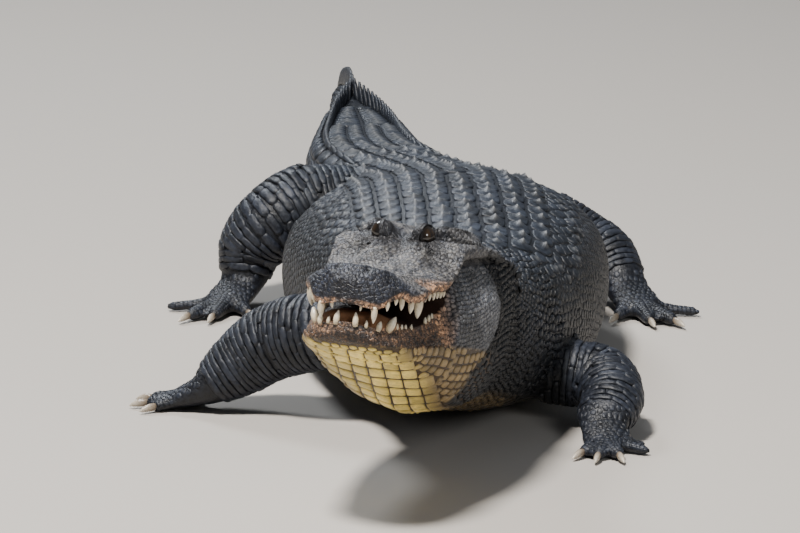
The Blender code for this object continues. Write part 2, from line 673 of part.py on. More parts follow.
def build():
    clear_scene()
    head_and_jaw()
    room = trunk_and_neck()
    tail()
    floor_block = floor_cutter()
    arms = ("upper_arm", "forearm")
    legs = ("thigh", "shank")
    limb("left", arms, ARM_LEFT, room)
    limb("right", arms, ARM_RIGHT, room)
    limb("left", legs, LEG_LEFT, room)
    limb("right", legs, LEG_RIGHT, room)
    foot("front_foot_left", ARM_LEFT, HAND_PALM, HAND_TOES, floor_block)
    foot("front_foot_right", ARM_RIGHT, HAND_PALM, HAND_TOES, floor_block)
    foot("hind_foot_left", LEG_LEFT, FOOT_PALM, FOOT_TOES, floor_block)
    foot("hind_foot_right", LEG_RIGHT, FOOT_PALM, FOOT_TOES, floor_block)


build()
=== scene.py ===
import math
from itertools import product

import bmesh
import bpy
import numpy as np
from mathutils import Matrix, Vector, noise
from mathutils.bvhtree import BVHTree
from mathutils.kdtree import KDTree


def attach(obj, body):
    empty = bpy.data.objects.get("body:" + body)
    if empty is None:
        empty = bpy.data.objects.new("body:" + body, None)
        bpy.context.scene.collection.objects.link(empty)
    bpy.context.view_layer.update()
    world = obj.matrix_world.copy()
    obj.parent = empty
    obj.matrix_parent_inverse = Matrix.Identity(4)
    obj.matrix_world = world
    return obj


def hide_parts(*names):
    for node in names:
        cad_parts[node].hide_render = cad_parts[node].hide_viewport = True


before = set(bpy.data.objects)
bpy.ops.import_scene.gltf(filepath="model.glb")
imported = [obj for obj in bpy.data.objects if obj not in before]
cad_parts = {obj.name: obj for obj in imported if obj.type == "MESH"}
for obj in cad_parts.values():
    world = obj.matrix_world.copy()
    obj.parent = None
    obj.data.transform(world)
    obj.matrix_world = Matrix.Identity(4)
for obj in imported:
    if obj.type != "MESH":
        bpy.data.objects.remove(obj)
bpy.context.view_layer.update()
bpy.ops.object.select_all(action="DESELECT")

# View and floor
# The view is from in front, a long way off and 13 degrees above the animal, through a long lens.
# The floor is plain and pale, and three soft lamps stand for an overcast noon.
VIEW_FROM = (-0.045, -8.45, 2.0996)
VIEW_DIP = 13.0
LENS = 270.0
SENSOR = 36.0
FLOOR_SIZE = 24.0
FLOOR_COLOUR = (0.42, 0.39, 0.355, 1.0)
SKY_COLOUR = (0.80, 0.88, 1.0, 1.0)
SKY_STRENGTH = 0.17
LAMP_AIM = Vector((0.0, -0.2, 0.2))
# name, place, size, power and colour of each lamp
LAMPS = (
    ("lamp_high", (-0.9, -1.9, 4.4), 0.8, 500.0, (1.0, 0.97, 0.93)),
    ("lamp_back", (-1.6, 3.2, 3.6), 1.4, 170.0, (0.90, 0.95, 1.0)),
    ("lamp_front", (2.2, -5.2, 2.6), 1.8, 85.0, (0.95, 0.98, 1.0)),
)

bpy.ops.object.camera_add(location=VIEW_FROM, rotation=(math.radians(90.0 - VIEW_DIP), 0, 0))
camera = bpy.context.object
camera.data.lens = LENS
camera.data.sensor_width = SENSOR
camera.data.clip_end = 60.0
bpy.context.scene.camera = camera

bpy.ops.mesh.primitive_plane_add(size=FLOOR_SIZE, location=(0, 4.0, 0))
floor = bpy.context.object
floor.name = "floor"
bpy.ops.object.transform_apply(location=True, rotation=True, scale=True)


def new_finish(name):
    """A new material, its node tree and its shader."""
    finish = bpy.data.materials.new(name)
    finish.use_nodes = True
    return finish, finish.node_tree, finish.node_tree.nodes["Principled BSDF"]


paint, tree, shader = new_finish("pale floor")
shader.inputs["Base Color"].default_value = FLOOR_COLOUR
shader.inputs["Roughness"].default_value = 0.85
floor.data.materials.append(paint)

world = bpy.data.worlds.new("studio")
world.use_nodes = True
world.node_tree.nodes["Background"].inputs["Color"].default_value = SKY_COLOUR
world.node_tree.nodes["Background"].inputs["Strength"].default_value = SKY_STRENGTH
bpy.context.scene.world = world

for name, place, size, power, colour in LAMPS:
    bpy.ops.object.light_add(type="AREA", location=place)
    lamp = bpy.context.object
    lamp.name = name
    lamp.data.shape = "DISK"
    lamp.data.size = size
    lamp.data.energy = power
    lamp.data.color = colour
    lamp.rotation_euler = (LAMP_AIM - Vector(place)).to_track_quat("-Z", "Y").to_euler()

# Skin
# One closed skin from the snout to the tail's tip, with the lining of the mouth and all four legs.
# It is lofted through the body's sections, and lies under the scales by their thickness.
SNOUT_TIP = np.array((-0.116, -0.935, 0.312))
# turn to its right, lift and roll of the head, in degrees
HEAD_TURN = 18.5
HEAD_LIFT = 10.5
HEAD_ROLL = 2.5
HEAD_LENGTH = 0.41
NECK_FROM_Y = -0.500
MOUTH_CORNER = 0.190
JAW_FRONT = 0.008
TAIL_END_Y = 1.90
# last rings of the tail: share of the last section, and how far beyond it
TAIL_ROUNDING = ((0.80, 0.006), (0.45, 0.011), (0.12, 0.013))
QUARTER = 40
NECK_ROWS = 24
CAP_ROWS = 9
# share of the filling between the crests that the skin takes
CREST_FILL = 0.45
MIRROR = np.array((-1.0, 1.0, 1.0))
# distance behind the snout tip, half-width and height of the mouth line, widest half-width,
# half-width and height of the crown's edge, fall outside that edge, and height on the midline
UPPER_HEAD = (
    (0.000, 0.016, 0.003, 0.018, 0.011, 0.030, 0.003, 0.032),
    (0.010, 0.040, -0.001, 0.043, 0.026, 0.041, 0.004, 0.044),
    (0.022, 0.054, 0.010, 0.058, 0.035, 0.047, 0.005, 0.050),
    (0.038, 0.063, 0.0155, 0.067, 0.039, 0.049, 0.005, 0.050),
    (0.058, 0.070, 0.009, 0.074, 0.040, 0.047, 0.005, 0.048),
    (0.080, 0.077, 0.012, 0.080, 0.039, 0.043, 0.004, 0.043),
    (0.100, 0.078, 0.019, 0.082, 0.038, 0.043, 0.004, 0.043),
    (0.120, 0.079, 0.021, 0.084, 0.038, 0.046, 0.004, 0.045),
    (0.150, 0.080, 0.0215, 0.087, 0.039, 0.055, 0.005, 0.052),
    (0.174, 0.081, 0.022, 0.089, 0.041, 0.068, 0.007, 0.060),
    (0.186, 0.081, 0.034, 0.090, 0.042, 0.080, 0.010, 0.066),
    (0.200, 0.082, 0.049, 0.091, 0.043, 0.097, 0.014, 0.075),
    (0.214, 0.083, 0.057, 0.092, 0.044, 0.105, 0.016, 0.083),
    (0.235, 0.084, 0.060, 0.093, 0.048, 0.104, 0.014, 0.088),
    (0.265, 0.086, 0.061, 0.094, 0.054, 0.102, 0.012, 0.092),
    (0.300, 0.088, 0.061, 0.095, 0.058, 0.098, 0.012, 0.094),
    (0.345, 0.090, 0.057, 0.096, 0.060, 0.089, 0.012, 0.088),
    (0.380, 0.092, 0.051, 0.097, 0.057, 0.076, 0.009, 0.080),
    (0.410, 0.093, 0.045, 0.097, 0.050, 0.067, 0.007, 0.073),
)
# distance behind the snout tip, half-width at the lip, widest half-width, depth of the widest
# line below the lip, and height of the underside
LOWER_JAW = (
    (0.008, 0.010, 0.012, 0.008, -0.036),
    (0.012, 0.018, 0.022, 0.014, -0.043),
    (0.022, 0.036, 0.042, 0.020, -0.050),
    (0.040, 0.052, 0.061, 0.022, -0.058),
    (0.070, 0.065, 0.077, 0.024, -0.070),
    (0.110, 0.072, 0.085, 0.028, -0.086),
    (0.150, 0.075, 0.091, 0.036, -0.104),
    (0.185, 0.079, 0.098, 0.062, -0.119),
    (0.220, 0.083, 0.105, 0.072, -0.134),
    (0.260, 0.086, 0.109, 0.068, -0.148),
    (0.300, 0.088, 0.111, 0.064, -0.155),
    (0.335, 0.090, 0.110, 0.062, -0.156),
    (0.365, 0.092, 0.104, 0.060, -0.155),
    (0.410, 0.093, 0.100, 0.058, -0.150),
)
# height of the lower lip where the mouth is open: distance behind the snout tip, and height
LOWER_LIP = (
    (0.008, -0.020), (0.012, -0.022), (0.028, -0.026), (0.042, -0.024), (0.077, -0.025),
    (0.103, -0.022), (0.128, -0.017), (0.156, -0.009), (0.173, 0.000), (0.183, 0.011),
    (0.190, 0.038),
)
# rise of the palate and of the tongue between the lips, by distance behind the snout tip
MOUTH_RISE = (
    (0.0, 0.002, 0.000), (0.010, 0.006, 0.003), (0.026, 0.008, 0.017), (0.050, 0.010, 0.019),
    (0.075, 0.012, 0.012), (0.12, 0.012, 0.003), (0.17, 0.006, 0.0), (MOUTH_CORNER, 0.0, 0.0),
)
# y, x, turn and lean of the section, half-width, heights of back, widest line and belly, and how
# square the section is above and below
BODY = (
    (-0.550, 0.012, -18.5, 10.5, 0.103, 0.312, 0.205, 0.089, 2.2, 2.1),
    (-0.500, 0.022, -13.5, 8.0, 0.109, 0.291, 0.182, 0.072, 2.2, 2.1),
    (-0.420, 0.032, -4.0, 3.0, 0.126, 0.273, 0.158, 0.046, 2.2, 2.2),
    (-0.310, 0.035, 0.0, 0.0, 0.166, 0.272, 0.142, 0.014, 2.2, 2.4),
    (-0.200, 0.032, 0.0, 0.0, 0.199, 0.276, 0.132, -0.004, 2.2, 2.6),
    (-0.050, 0.027, 1.0, 0.0, 0.226, 0.277, 0.125, -0.008, 2.2, 2.6),
    (0.100, 0.021, 3.0, 0.0, 0.239, 0.268, 0.120, -0.008, 2.2, 2.6),
    (0.220, 0.014, 5.0, 0.0, 0.231, 0.250, 0.115, -0.008, 2.2, 2.6),
    (0.340, 0.003, 8.0, 0.0, 0.197, 0.229, 0.108, -0.008, 2.2, 2.6),
    (0.440, -0.010, 12.0, 0.0, 0.158, 0.214, 0.102, -0.008, 2.3, 2.6),
    (0.530, -0.034, 16.0, 0.0, 0.131, 0.204, 0.098, -0.008, 2.4, 2.5),
    (0.610, -0.064, 17.0, 0.0, 0.119, 0.197, 0.094, -0.007, 2.5, 2.4),
    (0.710, -0.090, 9.0, 0.0, 0.109, 0.188, 0.090, -0.006, 2.6, 2.4),
    (0.850, -0.101, 3.5, 0.0, 0.097, 0.173, 0.084, -0.005, 2.7, 2.3),
    (1.050, -0.107, 2.5, 0.0, 0.077, 0.150, 0.074, -0.004, 2.7, 2.2),
    (1.350, -0.125, 3.5, 0.0, 0.046, 0.122, 0.060, -0.003, 2.6, 2.2),
    (1.600, -0.138, 3.0, 0.0, 0.028, 0.088, 0.045, -0.002, 2.4, 2.2),
    (1.800, -0.148, 2.5, 0.0, 0.016, 0.052, 0.027, -0.002, 2.2, 2.2),
    (1.900, -0.152, 2.5, 0.0, 0.007, 0.024, 0.013, -0.001, 2.0, 2.0),
)
# y, half the space between the tail's two crests, height of a crest scute, and how far the valley
# between the crests is filled
CREST = (
    (0.570, 0.074, 0.006, 0.0),
    (0.700, 0.068, 0.014, 0.0),
    (0.880, 0.061, 0.026, 0.0),
    (1.050, 0.052, 0.036, 0.0),
    (1.190, 0.038, 0.043, 0.05),
    (1.290, 0.020, 0.049, 0.30),
    (1.360, 0.005, 0.052, 0.80),
    (1.420, 0.002, 0.052, 0.92),
    (1.600, 0.0014, 0.044, 0.93),
    (1.800, 0.0012, 0.028, 0.93),
    (1.900, 0.0010, 0.008, 0.93),
)


def through(table, at):
    """Values of a table of stations at some places, smooth and without overshoot."""
    rows = np.array(table, dtype=float)
    keys, values = rows[:, 0], rows[:, 1:]
    steps = np.diff(keys)[:, None]
    slopes = np.diff(values, axis=0) / steps
    tangents = np.zeros_like(values)
    tangents[0], tangents[-1] = slopes[0], slopes[-1]
    before, after = slopes[:-1], slopes[1:]
    same_way = before * after > 0
    total = np.where(same_way, before + after, 1.0)
    tangents[1:-1] = np.where(same_way, 2 * before * after / total, 0.0)
    at = np.clip(np.atleast_1d(np.asarray(at, dtype=float)), keys[0], keys[-1])
    i = np.clip(np.searchsorted(keys, at, side="right") - 1, 0, len(keys) - 2)
    step = steps[i]
    t = (at - keys[i])[:, None] / step
    return (values[i] * (1 + 2 * t) * (1 - t) ** 2 + values[i + 1] * t * t * (3 - 2 * t)
            + step * (tangents[i] * t * (1 - t) ** 2 + tangents[i + 1] * t * t * (t - 1)))


def smooth_step(low, high, value):
    t = np.clip((value - low) / (high - low), 0.0, 1.0)
    return t * t * (3 - 2 * t)


def even(points, count):
    """The same open line with its points evenly spread."""
    lengths = np.linalg.norm(np.diff(points, axis=0), axis=1)
    run = np.concatenate([[0.0], np.cumsum(lengths)])
    at = np.linspace(0.0, run[-1], count)
    return np.column_stack([np.interp(at, run, column) for column in points.T])


def curve(controls, count=QUARTER + 1):
    """An evenly spread smooth line through a few points."""
    keyed = [(float(k), *point) for k, point in enumerate(controls)]
    return even(through(keyed, np.linspace(0, len(controls) - 1, 81)), count)


HEAD_AXES = np.array(Matrix.Rotation(math.radians(-HEAD_TURN), 3, "Z")
                     @ Matrix.Rotation(math.radians(-HEAD_LIFT), 3, "X")
                     @ Matrix.Rotation(math.radians(HEAD_ROLL), 3, "Y"))


def from_head(points):
    """Points given as left, behind the snout tip, up, in the part's frame."""
    return SNOUT_TIP + np.asarray(points) @ HEAD_AXES.T


def to_head(points):
    return (np.asarray(points) - SNOUT_TIP) @ HEAD_AXES


def head_section(u, controls):
    """A section of the head at u: its left half through some points, then the right half."""
    half = curve(controls)
    half = np.column_stack([half[:, 0], np.full(len(half), u), half[:, 1]])
    return np.vstack([half, (half * MIRROR)[::-1][1:]])


def upper_section(u):
    lip_w, lip_z, width, crown_w, edge_z, fall, mid_z = through(UPPER_HEAD, u)[0]
    return head_section(u, (
        (lip_w, lip_z),
        (width, lip_z + 0.36 * (edge_z - lip_z)),
        (crown_w + 0.22 * (width - crown_w), edge_z - fall),
        (crown_w, edge_z),
        (0.55 * crown_w, mid_z + 0.65 * (edge_z - mid_z)),
        (0.0, mid_z),
    ))


def lower_lip(u):
    shut = through(UPPER_HEAD, u)[:, 1]
    return np.where(np.asarray(u) < MOUTH_CORNER, np.minimum(through(LOWER_LIP, u)[:, 0], shut),
                    shut)


def lower_section(u):
    lip_w, width, drop, under = through(LOWER_JAW, u)[0]
    upper_w = through(UPPER_HEAD, u)[0][0]
    meet = float(smooth_step(MOUTH_CORNER - 0.02, MOUTH_CORNER, u))
    lip = float(lower_lip(u)[0])
    lip_w = lip_w + meet * (upper_w - lip_w)
    return head_section(u, (
        (lip_w, lip),
        (width, lip - drop),
        (0.92 * width, lip - drop - 0.50 * (lip - drop - under)),
        (0.58 * width, under + 0.12 * (lip - drop - under)),
        (0.0, under),
    ))


def lining(edge_left, edge_right, rise):
    """A row across the mouth from lip to lip, arched by a rise."""
    t = np.linspace(0.0, 1.0, 2 * QUARTER + 1)[:, None]
    row = edge_left * (1 - t) + edge_right * t
    row[:, 2] += rise * np.clip(1.0 - np.abs(2 * t[:, 0] - 1) ** 2.6, 0, 1)
    return row


def body_section(y):
    """The upper and lower halves of the section of neck, trunk or tail at y."""
    x, turn, lean, width, back, wide, belly, square_up, square_down = through(BODY, y)[0]
    space, height, fill = through(CREST, y)[0]
    fill *= CREST_FILL
    side = np.array((math.cos(math.radians(turn)), math.sin(math.radians(turn)), 0.0))
    along = np.array((-side[1], side[0], 0.0))
    up = (np.array((0, 0, 1)) * math.cos(math.radians(lean))
          + along * math.sin(math.radians(lean)))
    angle = np.linspace(0.0, math.pi / 2, 81)
    foot = min(0.013, 0.42 * width)
    outer = min(space + foot, 0.92 * width)
    tail_up = curve((
        (width, wide),
        (0.5 * (width + outer) + 0.12 * (width - outer), wide + 0.62 * (back - wide)),
        (outer, back - 0.10 * (back - wide)),
        (0.5 * outer, back - 0.004 + 0.5 * fill * height),
        (0.0, back - 0.004 + fill * height),
    ))
    tail_down = curve((
        (width, wide),
        (0.92 * width, belly + 0.28 * (wide - belly)),
        (0.62 * width, belly),
        (0.0, belly),
    ))
    blend = float(smooth_step(0.50, 0.68, y))
    halves = []
    for edge, square, tailed in ((back, square_up, tail_up), (belly, square_down, tail_down)):
        flat = even(np.column_stack([width * np.cos(angle) ** (2 / square),
                                     wide + (edge - wide) * np.sin(angle) ** (2 / square)]),
                    QUARTER + 1)
        flat = flat + blend * (tailed - flat)
        across, rise = np.outer(flat[:, 0], side), np.outer(flat[:, 1] - wide, up)
        row = np.vstack([(x, y, wide) + across + rise, ((x, y, wide) - across + rise)[::-1][1:]])
        row[:, 2] = np.maximum(row[:, 2], 0.0)
        halves.append(row)
    return halves


front_us = np.linspace(0.0, 1.0, 50) ** 1.25 * MOUTH_CORNER
rear_us = np.linspace(MOUTH_CORNER, HEAD_LENGTH, 70)[1:]
jaw_us = JAW_FRONT + front_us * (MOUTH_CORNER - JAW_FRONT) / MOUTH_CORNER
upper_rows = [from_head(upper_section(u)) for u in np.concatenate([front_us, rear_us])]
lower_rows = [from_head(lower_section(u)) for u in np.concatenate([jaw_us, rear_us])]
nape = [(from_head(section(HEAD_LENGTH)), from_head(section(HEAD_LENGTH - 0.01)))
        for section in (upper_section, lower_section)]
for rows, (last, before), part in zip((upper_rows, lower_rows), nape, (0, 1)):
    goal, beyond = body_section(NECK_FROM_Y)[part], body_section(NECK_FROM_Y + 0.01)[part]
    reach = np.linalg.norm(goal - last, axis=1)[:, None]
    leave = (last - before) / 0.01 * reach
    arrive = (beyond - goal) / 0.01 * reach
    for t in np.linspace(0, 1, NECK_ROWS)[1:-1]:
        rows.append(last * (1 + 2 * t) * (1 - t) ** 2 + goal * t * t * (3 - 2 * t)
                    + leave * t * (1 - t) ** 2 + arrive * t * t * (t - 1))
body_ys = np.concatenate([np.arange(NECK_FROM_Y, -0.30, 0.007), np.arange(-0.30, 0.57, 0.011),
                          np.arange(0.57, TAIL_END_Y, 0.015)])
for y in body_ys:
    above, below = body_section(y)
    upper_rows.append(above)
    lower_rows.append(below)
tail_centre = 0.5 * (upper_rows[-1][QUARTER] + lower_rows[-1][QUARTER])
for share, beyond in TAIL_ROUNDING:
    for rows, last in ((upper_rows, above), (lower_rows, below)):
        rows.append(tail_centre + (last - tail_centre) * share + (0.0, beyond, 0.0))

places = []
faces = []


def keep_rows(rows):
    """Adds rows of points and returns their numbers as a grid."""
    start = sum(len(block) for block in places)
    grid = np.array(rows)
    places.append(grid.reshape(-1, 3))
    return start + np.arange(grid.shape[0] * grid.shape[1]).reshape(grid.shape[:2])


def quads_of(grid):
    """Faces between the neighbours in a grid of numbers."""
    corners = [grid[:-1, :-1], grid[:-1, 1:], grid[1:, 1:], grid[1:, :-1]]
    return np.stack(corners, axis=-1).reshape(-1, 4)


def keep_faces(grid, flip=False):
    quads = quads_of(grid)
    faces.append(quads[:, ::-1] if flip else quads)


upper = keep_rows(upper_rows)
lower = keep_rows(lower_rows)
front = len(front_us)
rises = through(MOUTH_RISE, front_us)
palate_rows = [lining(row[0], row[-1], rise) for row, rise in zip(upper_rows, rises[:, 0])]
floor_rows = [lining(row[0], row[-1], rise) for row, rise in zip(lower_rows, rises[:, 1])]
palate = keep_rows(palate_rows[:front])
mouth_floor = keep_rows(floor_rows[:front])
palate[:, 0], palate[:, -1] = upper[:front, 0], upper[:front, -1]
lower[front - 1:, 0], lower[front - 1:, -1] = upper[front - 1:, 0], upper[front - 1:, -1]
mouth_floor[:, 0], mouth_floor[:, -1] = lower[:front, 0], lower[:front, -1]
mouth_floor[-1] = palate[-1]
keep_faces(upper)
keep_faces(lower, True)
keep_faces(palate, True)
keep_faces(mouth_floor)


def cap(first, last, from_row, to_row):
    """Closes the front between two rows, through a few rows between them."""
    between = [from_row * (1 - t) + to_row * t for t in np.linspace(0, 1, CAP_ROWS)[1:-1]]
    inner = keep_rows(between)
    keep_faces(np.vstack([first, inner, last]))


cap(palate[0], upper[0], palate_rows[0], upper_rows[0])
cap(lower[0], mouth_floor[0], lower_rows[0], floor_rows[0])
keep_faces(np.stack([upper[-1], lower[-1]]))


def plain_mesh(name, points, polygons):
    mesh = bpy.data.meshes.new(name)
    mesh.from_pydata(np.asarray(points).tolist(), [], [list(face) for face in polygons])
    obj = bpy.data.objects.new(name, mesh)
    bpy.context.scene.collection.objects.link(obj)
    return obj


def make_mesh(name, points, polygons):
    """A mesh with loose and doubled points taken out and its faces turned outward."""
    obj = plain_mesh(name, points, polygons)
    bm = bmesh.new()
    bm.from_mesh(obj.data)
    loose = [v for v in bm.verts if not v.link_faces]
    bmesh.ops.delete(bm, geom=loose, context="VERTS")
    bmesh.ops.remove_doubles(bm, verts=bm.verts, dist=1e-6)
    bmesh.ops.recalc_face_normals(bm, faces=bm.faces)
    bm.to_mesh(obj.data)
    bm.free()
    return obj


skin = make_mesh("skin", np.vstack(places), np.vstack(faces))

# Legs
# Four legs with broad feet, grown into the same skin: each is lofted along its bones, its toes
# are melted into its palm, and all are then joined to the body.
# centre x, y, z, and half-thickness across and up; the third station is the elbow or knee
LEGS = {
    "front_left": ((0.080, -0.300, 0.094, 0.048, 0.052), (0.164, -0.320, 0.076, 0.046, 0.047),
                   (0.238, -0.343, 0.066, 0.046, 0.045), (0.248, -0.400, 0.052, 0.043, 0.040),
                   (0.234, -0.452, 0.035, 0.037, 0.028)),
    "front_right": ((-0.050, -0.310, 0.140, 0.056, 0.060), (-0.140, -0.300, 0.130, 0.057, 0.057),
                    (-0.226, -0.262, 0.098, 0.054, 0.053), (-0.274, -0.254, 0.064, 0.047, 0.045),
                    (-0.316, -0.254, 0.034, 0.037, 0.029)),
    "hind_left": ((0.060, 0.435, 0.128, 0.066, 0.066), (0.150, 0.440, 0.118, 0.060, 0.058),
                  (0.232, 0.425, 0.090, 0.050, 0.047), (0.272, 0.398, 0.070, 0.042, 0.040),
                  (0.292, 0.362, 0.042, 0.035, 0.032)),
    "hind_right": ((-0.090, 0.450, 0.135, 0.064, 0.066), (-0.180, 0.425, 0.144, 0.063, 0.065),
                   (-0.244, 0.394, 0.118, 0.054, 0.056), (-0.272, 0.400, 0.080, 0.047, 0.048),
                   (-0.280, 0.388, 0.042, 0.038, 0.034)),
}
# heading of the foot in degrees, and which way its inner toe lies
HEADINGS = {"front_left": (8.0, 1), "front_right": (-108.0, -1),
            "hind_left": (22.0, 1), "hind_right": (-26.0, -1)}
# toes: angle from the heading, length, radius, and whether there is a claw
HAND_TOES = ((-46.0, 0.066, 0.0112, True), (-20.0, 0.074, 0.0115, True),
             (7.0, 0.074, 0.0115, True), (55.0, 0.066, 0.0090, False),
             (92.0, 0.056, 0.0080, False))
FOOT_TOES = ((-52.0, 0.072, 0.0120, True), (-8.0, 0.100, 0.0130, True),
             (13.0, 0.118, 0.0130, True), (60.0, 0.100, 0.0095, False))
# palms: length, half-width and half-height, and shares along them
HAND_PALM = (0.050, 0.036, 0.0190)
FOOT_PALM = (0.078, 0.038, 0.0200)
PALM_SHAPE = ((0.34, 0.92, 1.20, 1.35), (0.62, 1.0, 1.0, 1.05), (0.88, 0.92, 0.82, 0.82),
              (1.0, 0.66, 0.55, 0.74))
# a toe's flesh: share of its length, and share of its radius
TOE_SHAPE = ((0.0, 1.1), (0.35, 1.12), (0.62, 1.0), (0.85, 0.92), (0.97, 0.68), (1.0, 0.45))
CLAWED_FLESH = 0.86
TOE_HUB = 0.55
LEG_MELT = 0.0050
FOLD_WIDTH = 0.020
FOLD_ROUNDS = 16
AROUND = np.linspace(0, 2 * math.pi, 32, endpoint=False)


def leg_line(stations, steps):
    """Centres, ways along, across and up, and half-thicknesses at some steps of a leg."""
    keyed = [(float(k), *row) for k, row in enumerate(stations)]
    here = through(keyed, steps)
    before, after = (through(keyed, np.add(steps, way))[:, :3] for way in (-0.02, 0.02))
    along = after - before
    along /= np.linalg.norm(along, axis=1)[:, None]
    across = np.cross(along, (0, 0, 1))
    across /= np.linalg.norm(across, axis=1)[:, None]
    return here[:, :3], along, across, np.cross(across, along), here[:, 3], here[:, 4]


def oval(centre, across, up, width, height):
    return (centre + np.outer(np.cos(AROUND), across) * width
            + np.outer(np.sin(AROUND), up) * height)


def tube(rows):
    """Faces between rings of numbered points."""
    return quads_of(np.column_stack([rows, rows[:, :1]])).tolist()


def closed_loft(name, rings):
    """A closed solid through rings of equal count, with flat ends."""
    numbers = np.arange(len(rings) * len(rings[0])).reshape(len(rings), -1)
    polygons = tube(numbers) + [numbers[0][::-1].tolist(), numbers[-1].tolist()]
    return make_mesh(name, np.vstack(rings), polygons)


def toe_centre(hub, out, flesh, radius, share):
    """Middle of a toe at a share of its length: it comes down toward its tip."""
    return hub + out * share * flesh + (0, 0, radius * (1.5 - 0.75 * share))


def toe_lines(leg):
    """Each toe of a foot: start, way out, way aside, length of flesh, radius, and claw."""
    heading, mirror = HEADINGS[leg]
    palm, toes = (HAND_PALM, HAND_TOES) if "front" in leg else (FOOT_PALM, FOOT_TOES)
    ahead = np.array((math.sin(math.radians(heading)), -math.cos(math.radians(heading)), 0.0))
    hub = np.array(LEGS[leg][-1][:3]) * (1, 1, 0) + ahead * TOE_HUB * palm[0]
    lines = []
    for angle, length, radius, clawed in toes:
        way = math.radians(heading + angle * mirror)
        out = np.array((math.sin(way), -math.cos(way), 0.0))
        flesh = length * (CLAWED_FLESH if clawed else 1.0)
        lines.append((hub, out, np.array((out[1], -out[0], 0.0)), flesh, radius, clawed))
    return ahead, palm, lines


parts = []
for leg, stations in LEGS.items():
    centres, along, *frames = leg_line(stations, np.linspace(0.0, len(stations) - 1, 41))
    ahead, palm, toes = toe_lines(leg)
    sideways = np.array((ahead[1], -ahead[0], 0.0))
    rings = [oval(*ring) for ring in zip(centres, *frames)]
    base = np.array(stations[-1][:3]) * (1, 1, 0)
    for share, width, high, rise in PALM_SHAPE:
        centre = base + ahead * share * palm[0] + (0, 0, rise * palm[2])
        rings.append(oval(centre, sideways, (0, 0, 1), width * palm[1], high * palm[2]))
    parts.append(closed_loft(leg, rings))
    for hub, out, aside, flesh, radius, clawed in toes:
        rings = [oval(toe_centre(hub, out, flesh, radius, share), aside, (0, 0, 1),
                      radius * thick, radius * thick) for share, thick in TOE_SHAPE]
        parts.append(closed_loft(leg + "_toe", rings))
bpy.ops.object.select_all(action="DESELECT")
for part in parts:
    part.select_set(True)
bpy.context.view_layer.objects.active = parts[0]
bpy.ops.object.join()
legs = parts[0]
legs.name = "legs"
melt = legs.modifiers.new("melt", "REMESH")
melt.mode = "VOXEL"
melt.voxel_size = LEG_MELT
bpy.ops.object.modifier_apply(modifier=melt.name)
ease = legs.modifiers.new("ease", "SMOOTH")
ease.factor = 0.5
ease.iterations = 4
bpy.ops.object.modifier_apply(modifier=ease.name)


def read_points(mesh, what="co"):
    flat = np.empty(len(mesh.vertices) * 3)
    mesh.vertices.foreach_get(what, flat)
    return flat.reshape(-1, 3)


def write_points(mesh, points, lowest):
    """Sets a mesh's points, none of them below a lowest height."""
    points[:, 2] = np.maximum(points[:, 2], lowest)
    mesh.vertices.foreach_set("co", points.ravel())
    mesh.update()


write_points(legs.data, read_points(legs.data), 0.0)
on_legs = BVHTree.FromObject(legs, bpy.context.evaluated_depsgraph_get())
on_body = BVHTree.FromObject(skin, bpy.context.evaluated_depsgraph_get())
union = skin.modifiers.new("union", "BOOLEAN")
union.operation = "UNION"
union.solver = "EXACT"
union.object = legs
bpy.context.view_layer.objects.active = skin
bpy.ops.object.modifier_apply(modifier=union.name)
bpy.data.objects.remove(legs, do_unlink=True)


def neighbour_mean(mesh):
    """A function that gives each vertex the mean of its neighbours' places."""
    ends = np.empty(len(mesh.edges) * 2, dtype=int)
    mesh.edges.foreach_get("vertices", ends)
    first, second = ends.reshape(-1, 2).T
    count = len(mesh.vertices)
    number = np.bincount(first, minlength=count) + np.bincount(second, minlength=count)

    def mean(points):
        total = [np.bincount(first, points[second, k], count)
                 + np.bincount(second, points[first, k], count) for k in range(3)]
        return np.column_stack(total) / np.maximum(number, 1)[:, None]
    return mean


# the joint between each leg and the body is eased into a soft fold
points = read_points(skin.data)
near_legs = ((points[:, 1] > -0.45) & (points[:, 1] < -0.15)
             | (points[:, 1] > 0.28) & (points[:, 1] < 0.62))
joint = [i for i in np.flatnonzero(near_legs)
         if max(tree.find_nearest(points[i])[3] for tree in (on_legs, on_body)) < 1e-4]
joint_tree = KDTree(len(joint))
for number, i in enumerate(joint):
    joint_tree.insert(points[i], number)
joint_tree.balance()
ease = np.zeros(len(points))
for i in np.flatnonzero(near_legs):
    ease[i] = math.exp(-(joint_tree.find(points[i])[2] / FOLD_WIDTH) ** 2)
mean = neighbour_mean(skin.data)
for _ in range(FOLD_ROUNDS):
    points += ease[:, None] * (mean(points) - points)
write_points(skin.data, points, 0.0)

# Relief of the head
# The skull's bosses, the lids round each eye, the ear flaps, nostrils and folds of the jowl are
# raised from the same skin, which is finer there.
EYE_RADIUS = 0.0155
EYE_PLACE = np.array((0.0285, 0.214, 0.088))
EYE_LOOK = np.array((0.82, -0.51, 0.26))
# zones of finer mesh: centre and reach
FINE_ZONES = (((0.040, 0.208, 0.090), 0.036), ((0.040, 0.208, 0.090), 0.029),
              ((0.018, 0.026, 0.050), 0.020), ((0.058, 0.268, 0.088), 0.040))
# place of the groove behind the jowl: heights, and distances behind the snout tip
JOWL_REAR = ((-0.085, -0.065, -0.046, -0.026, 0.009, 0.043, 0.060),
             (0.262, 0.298, 0.322, 0.335, 0.333, 0.316, 0.300))
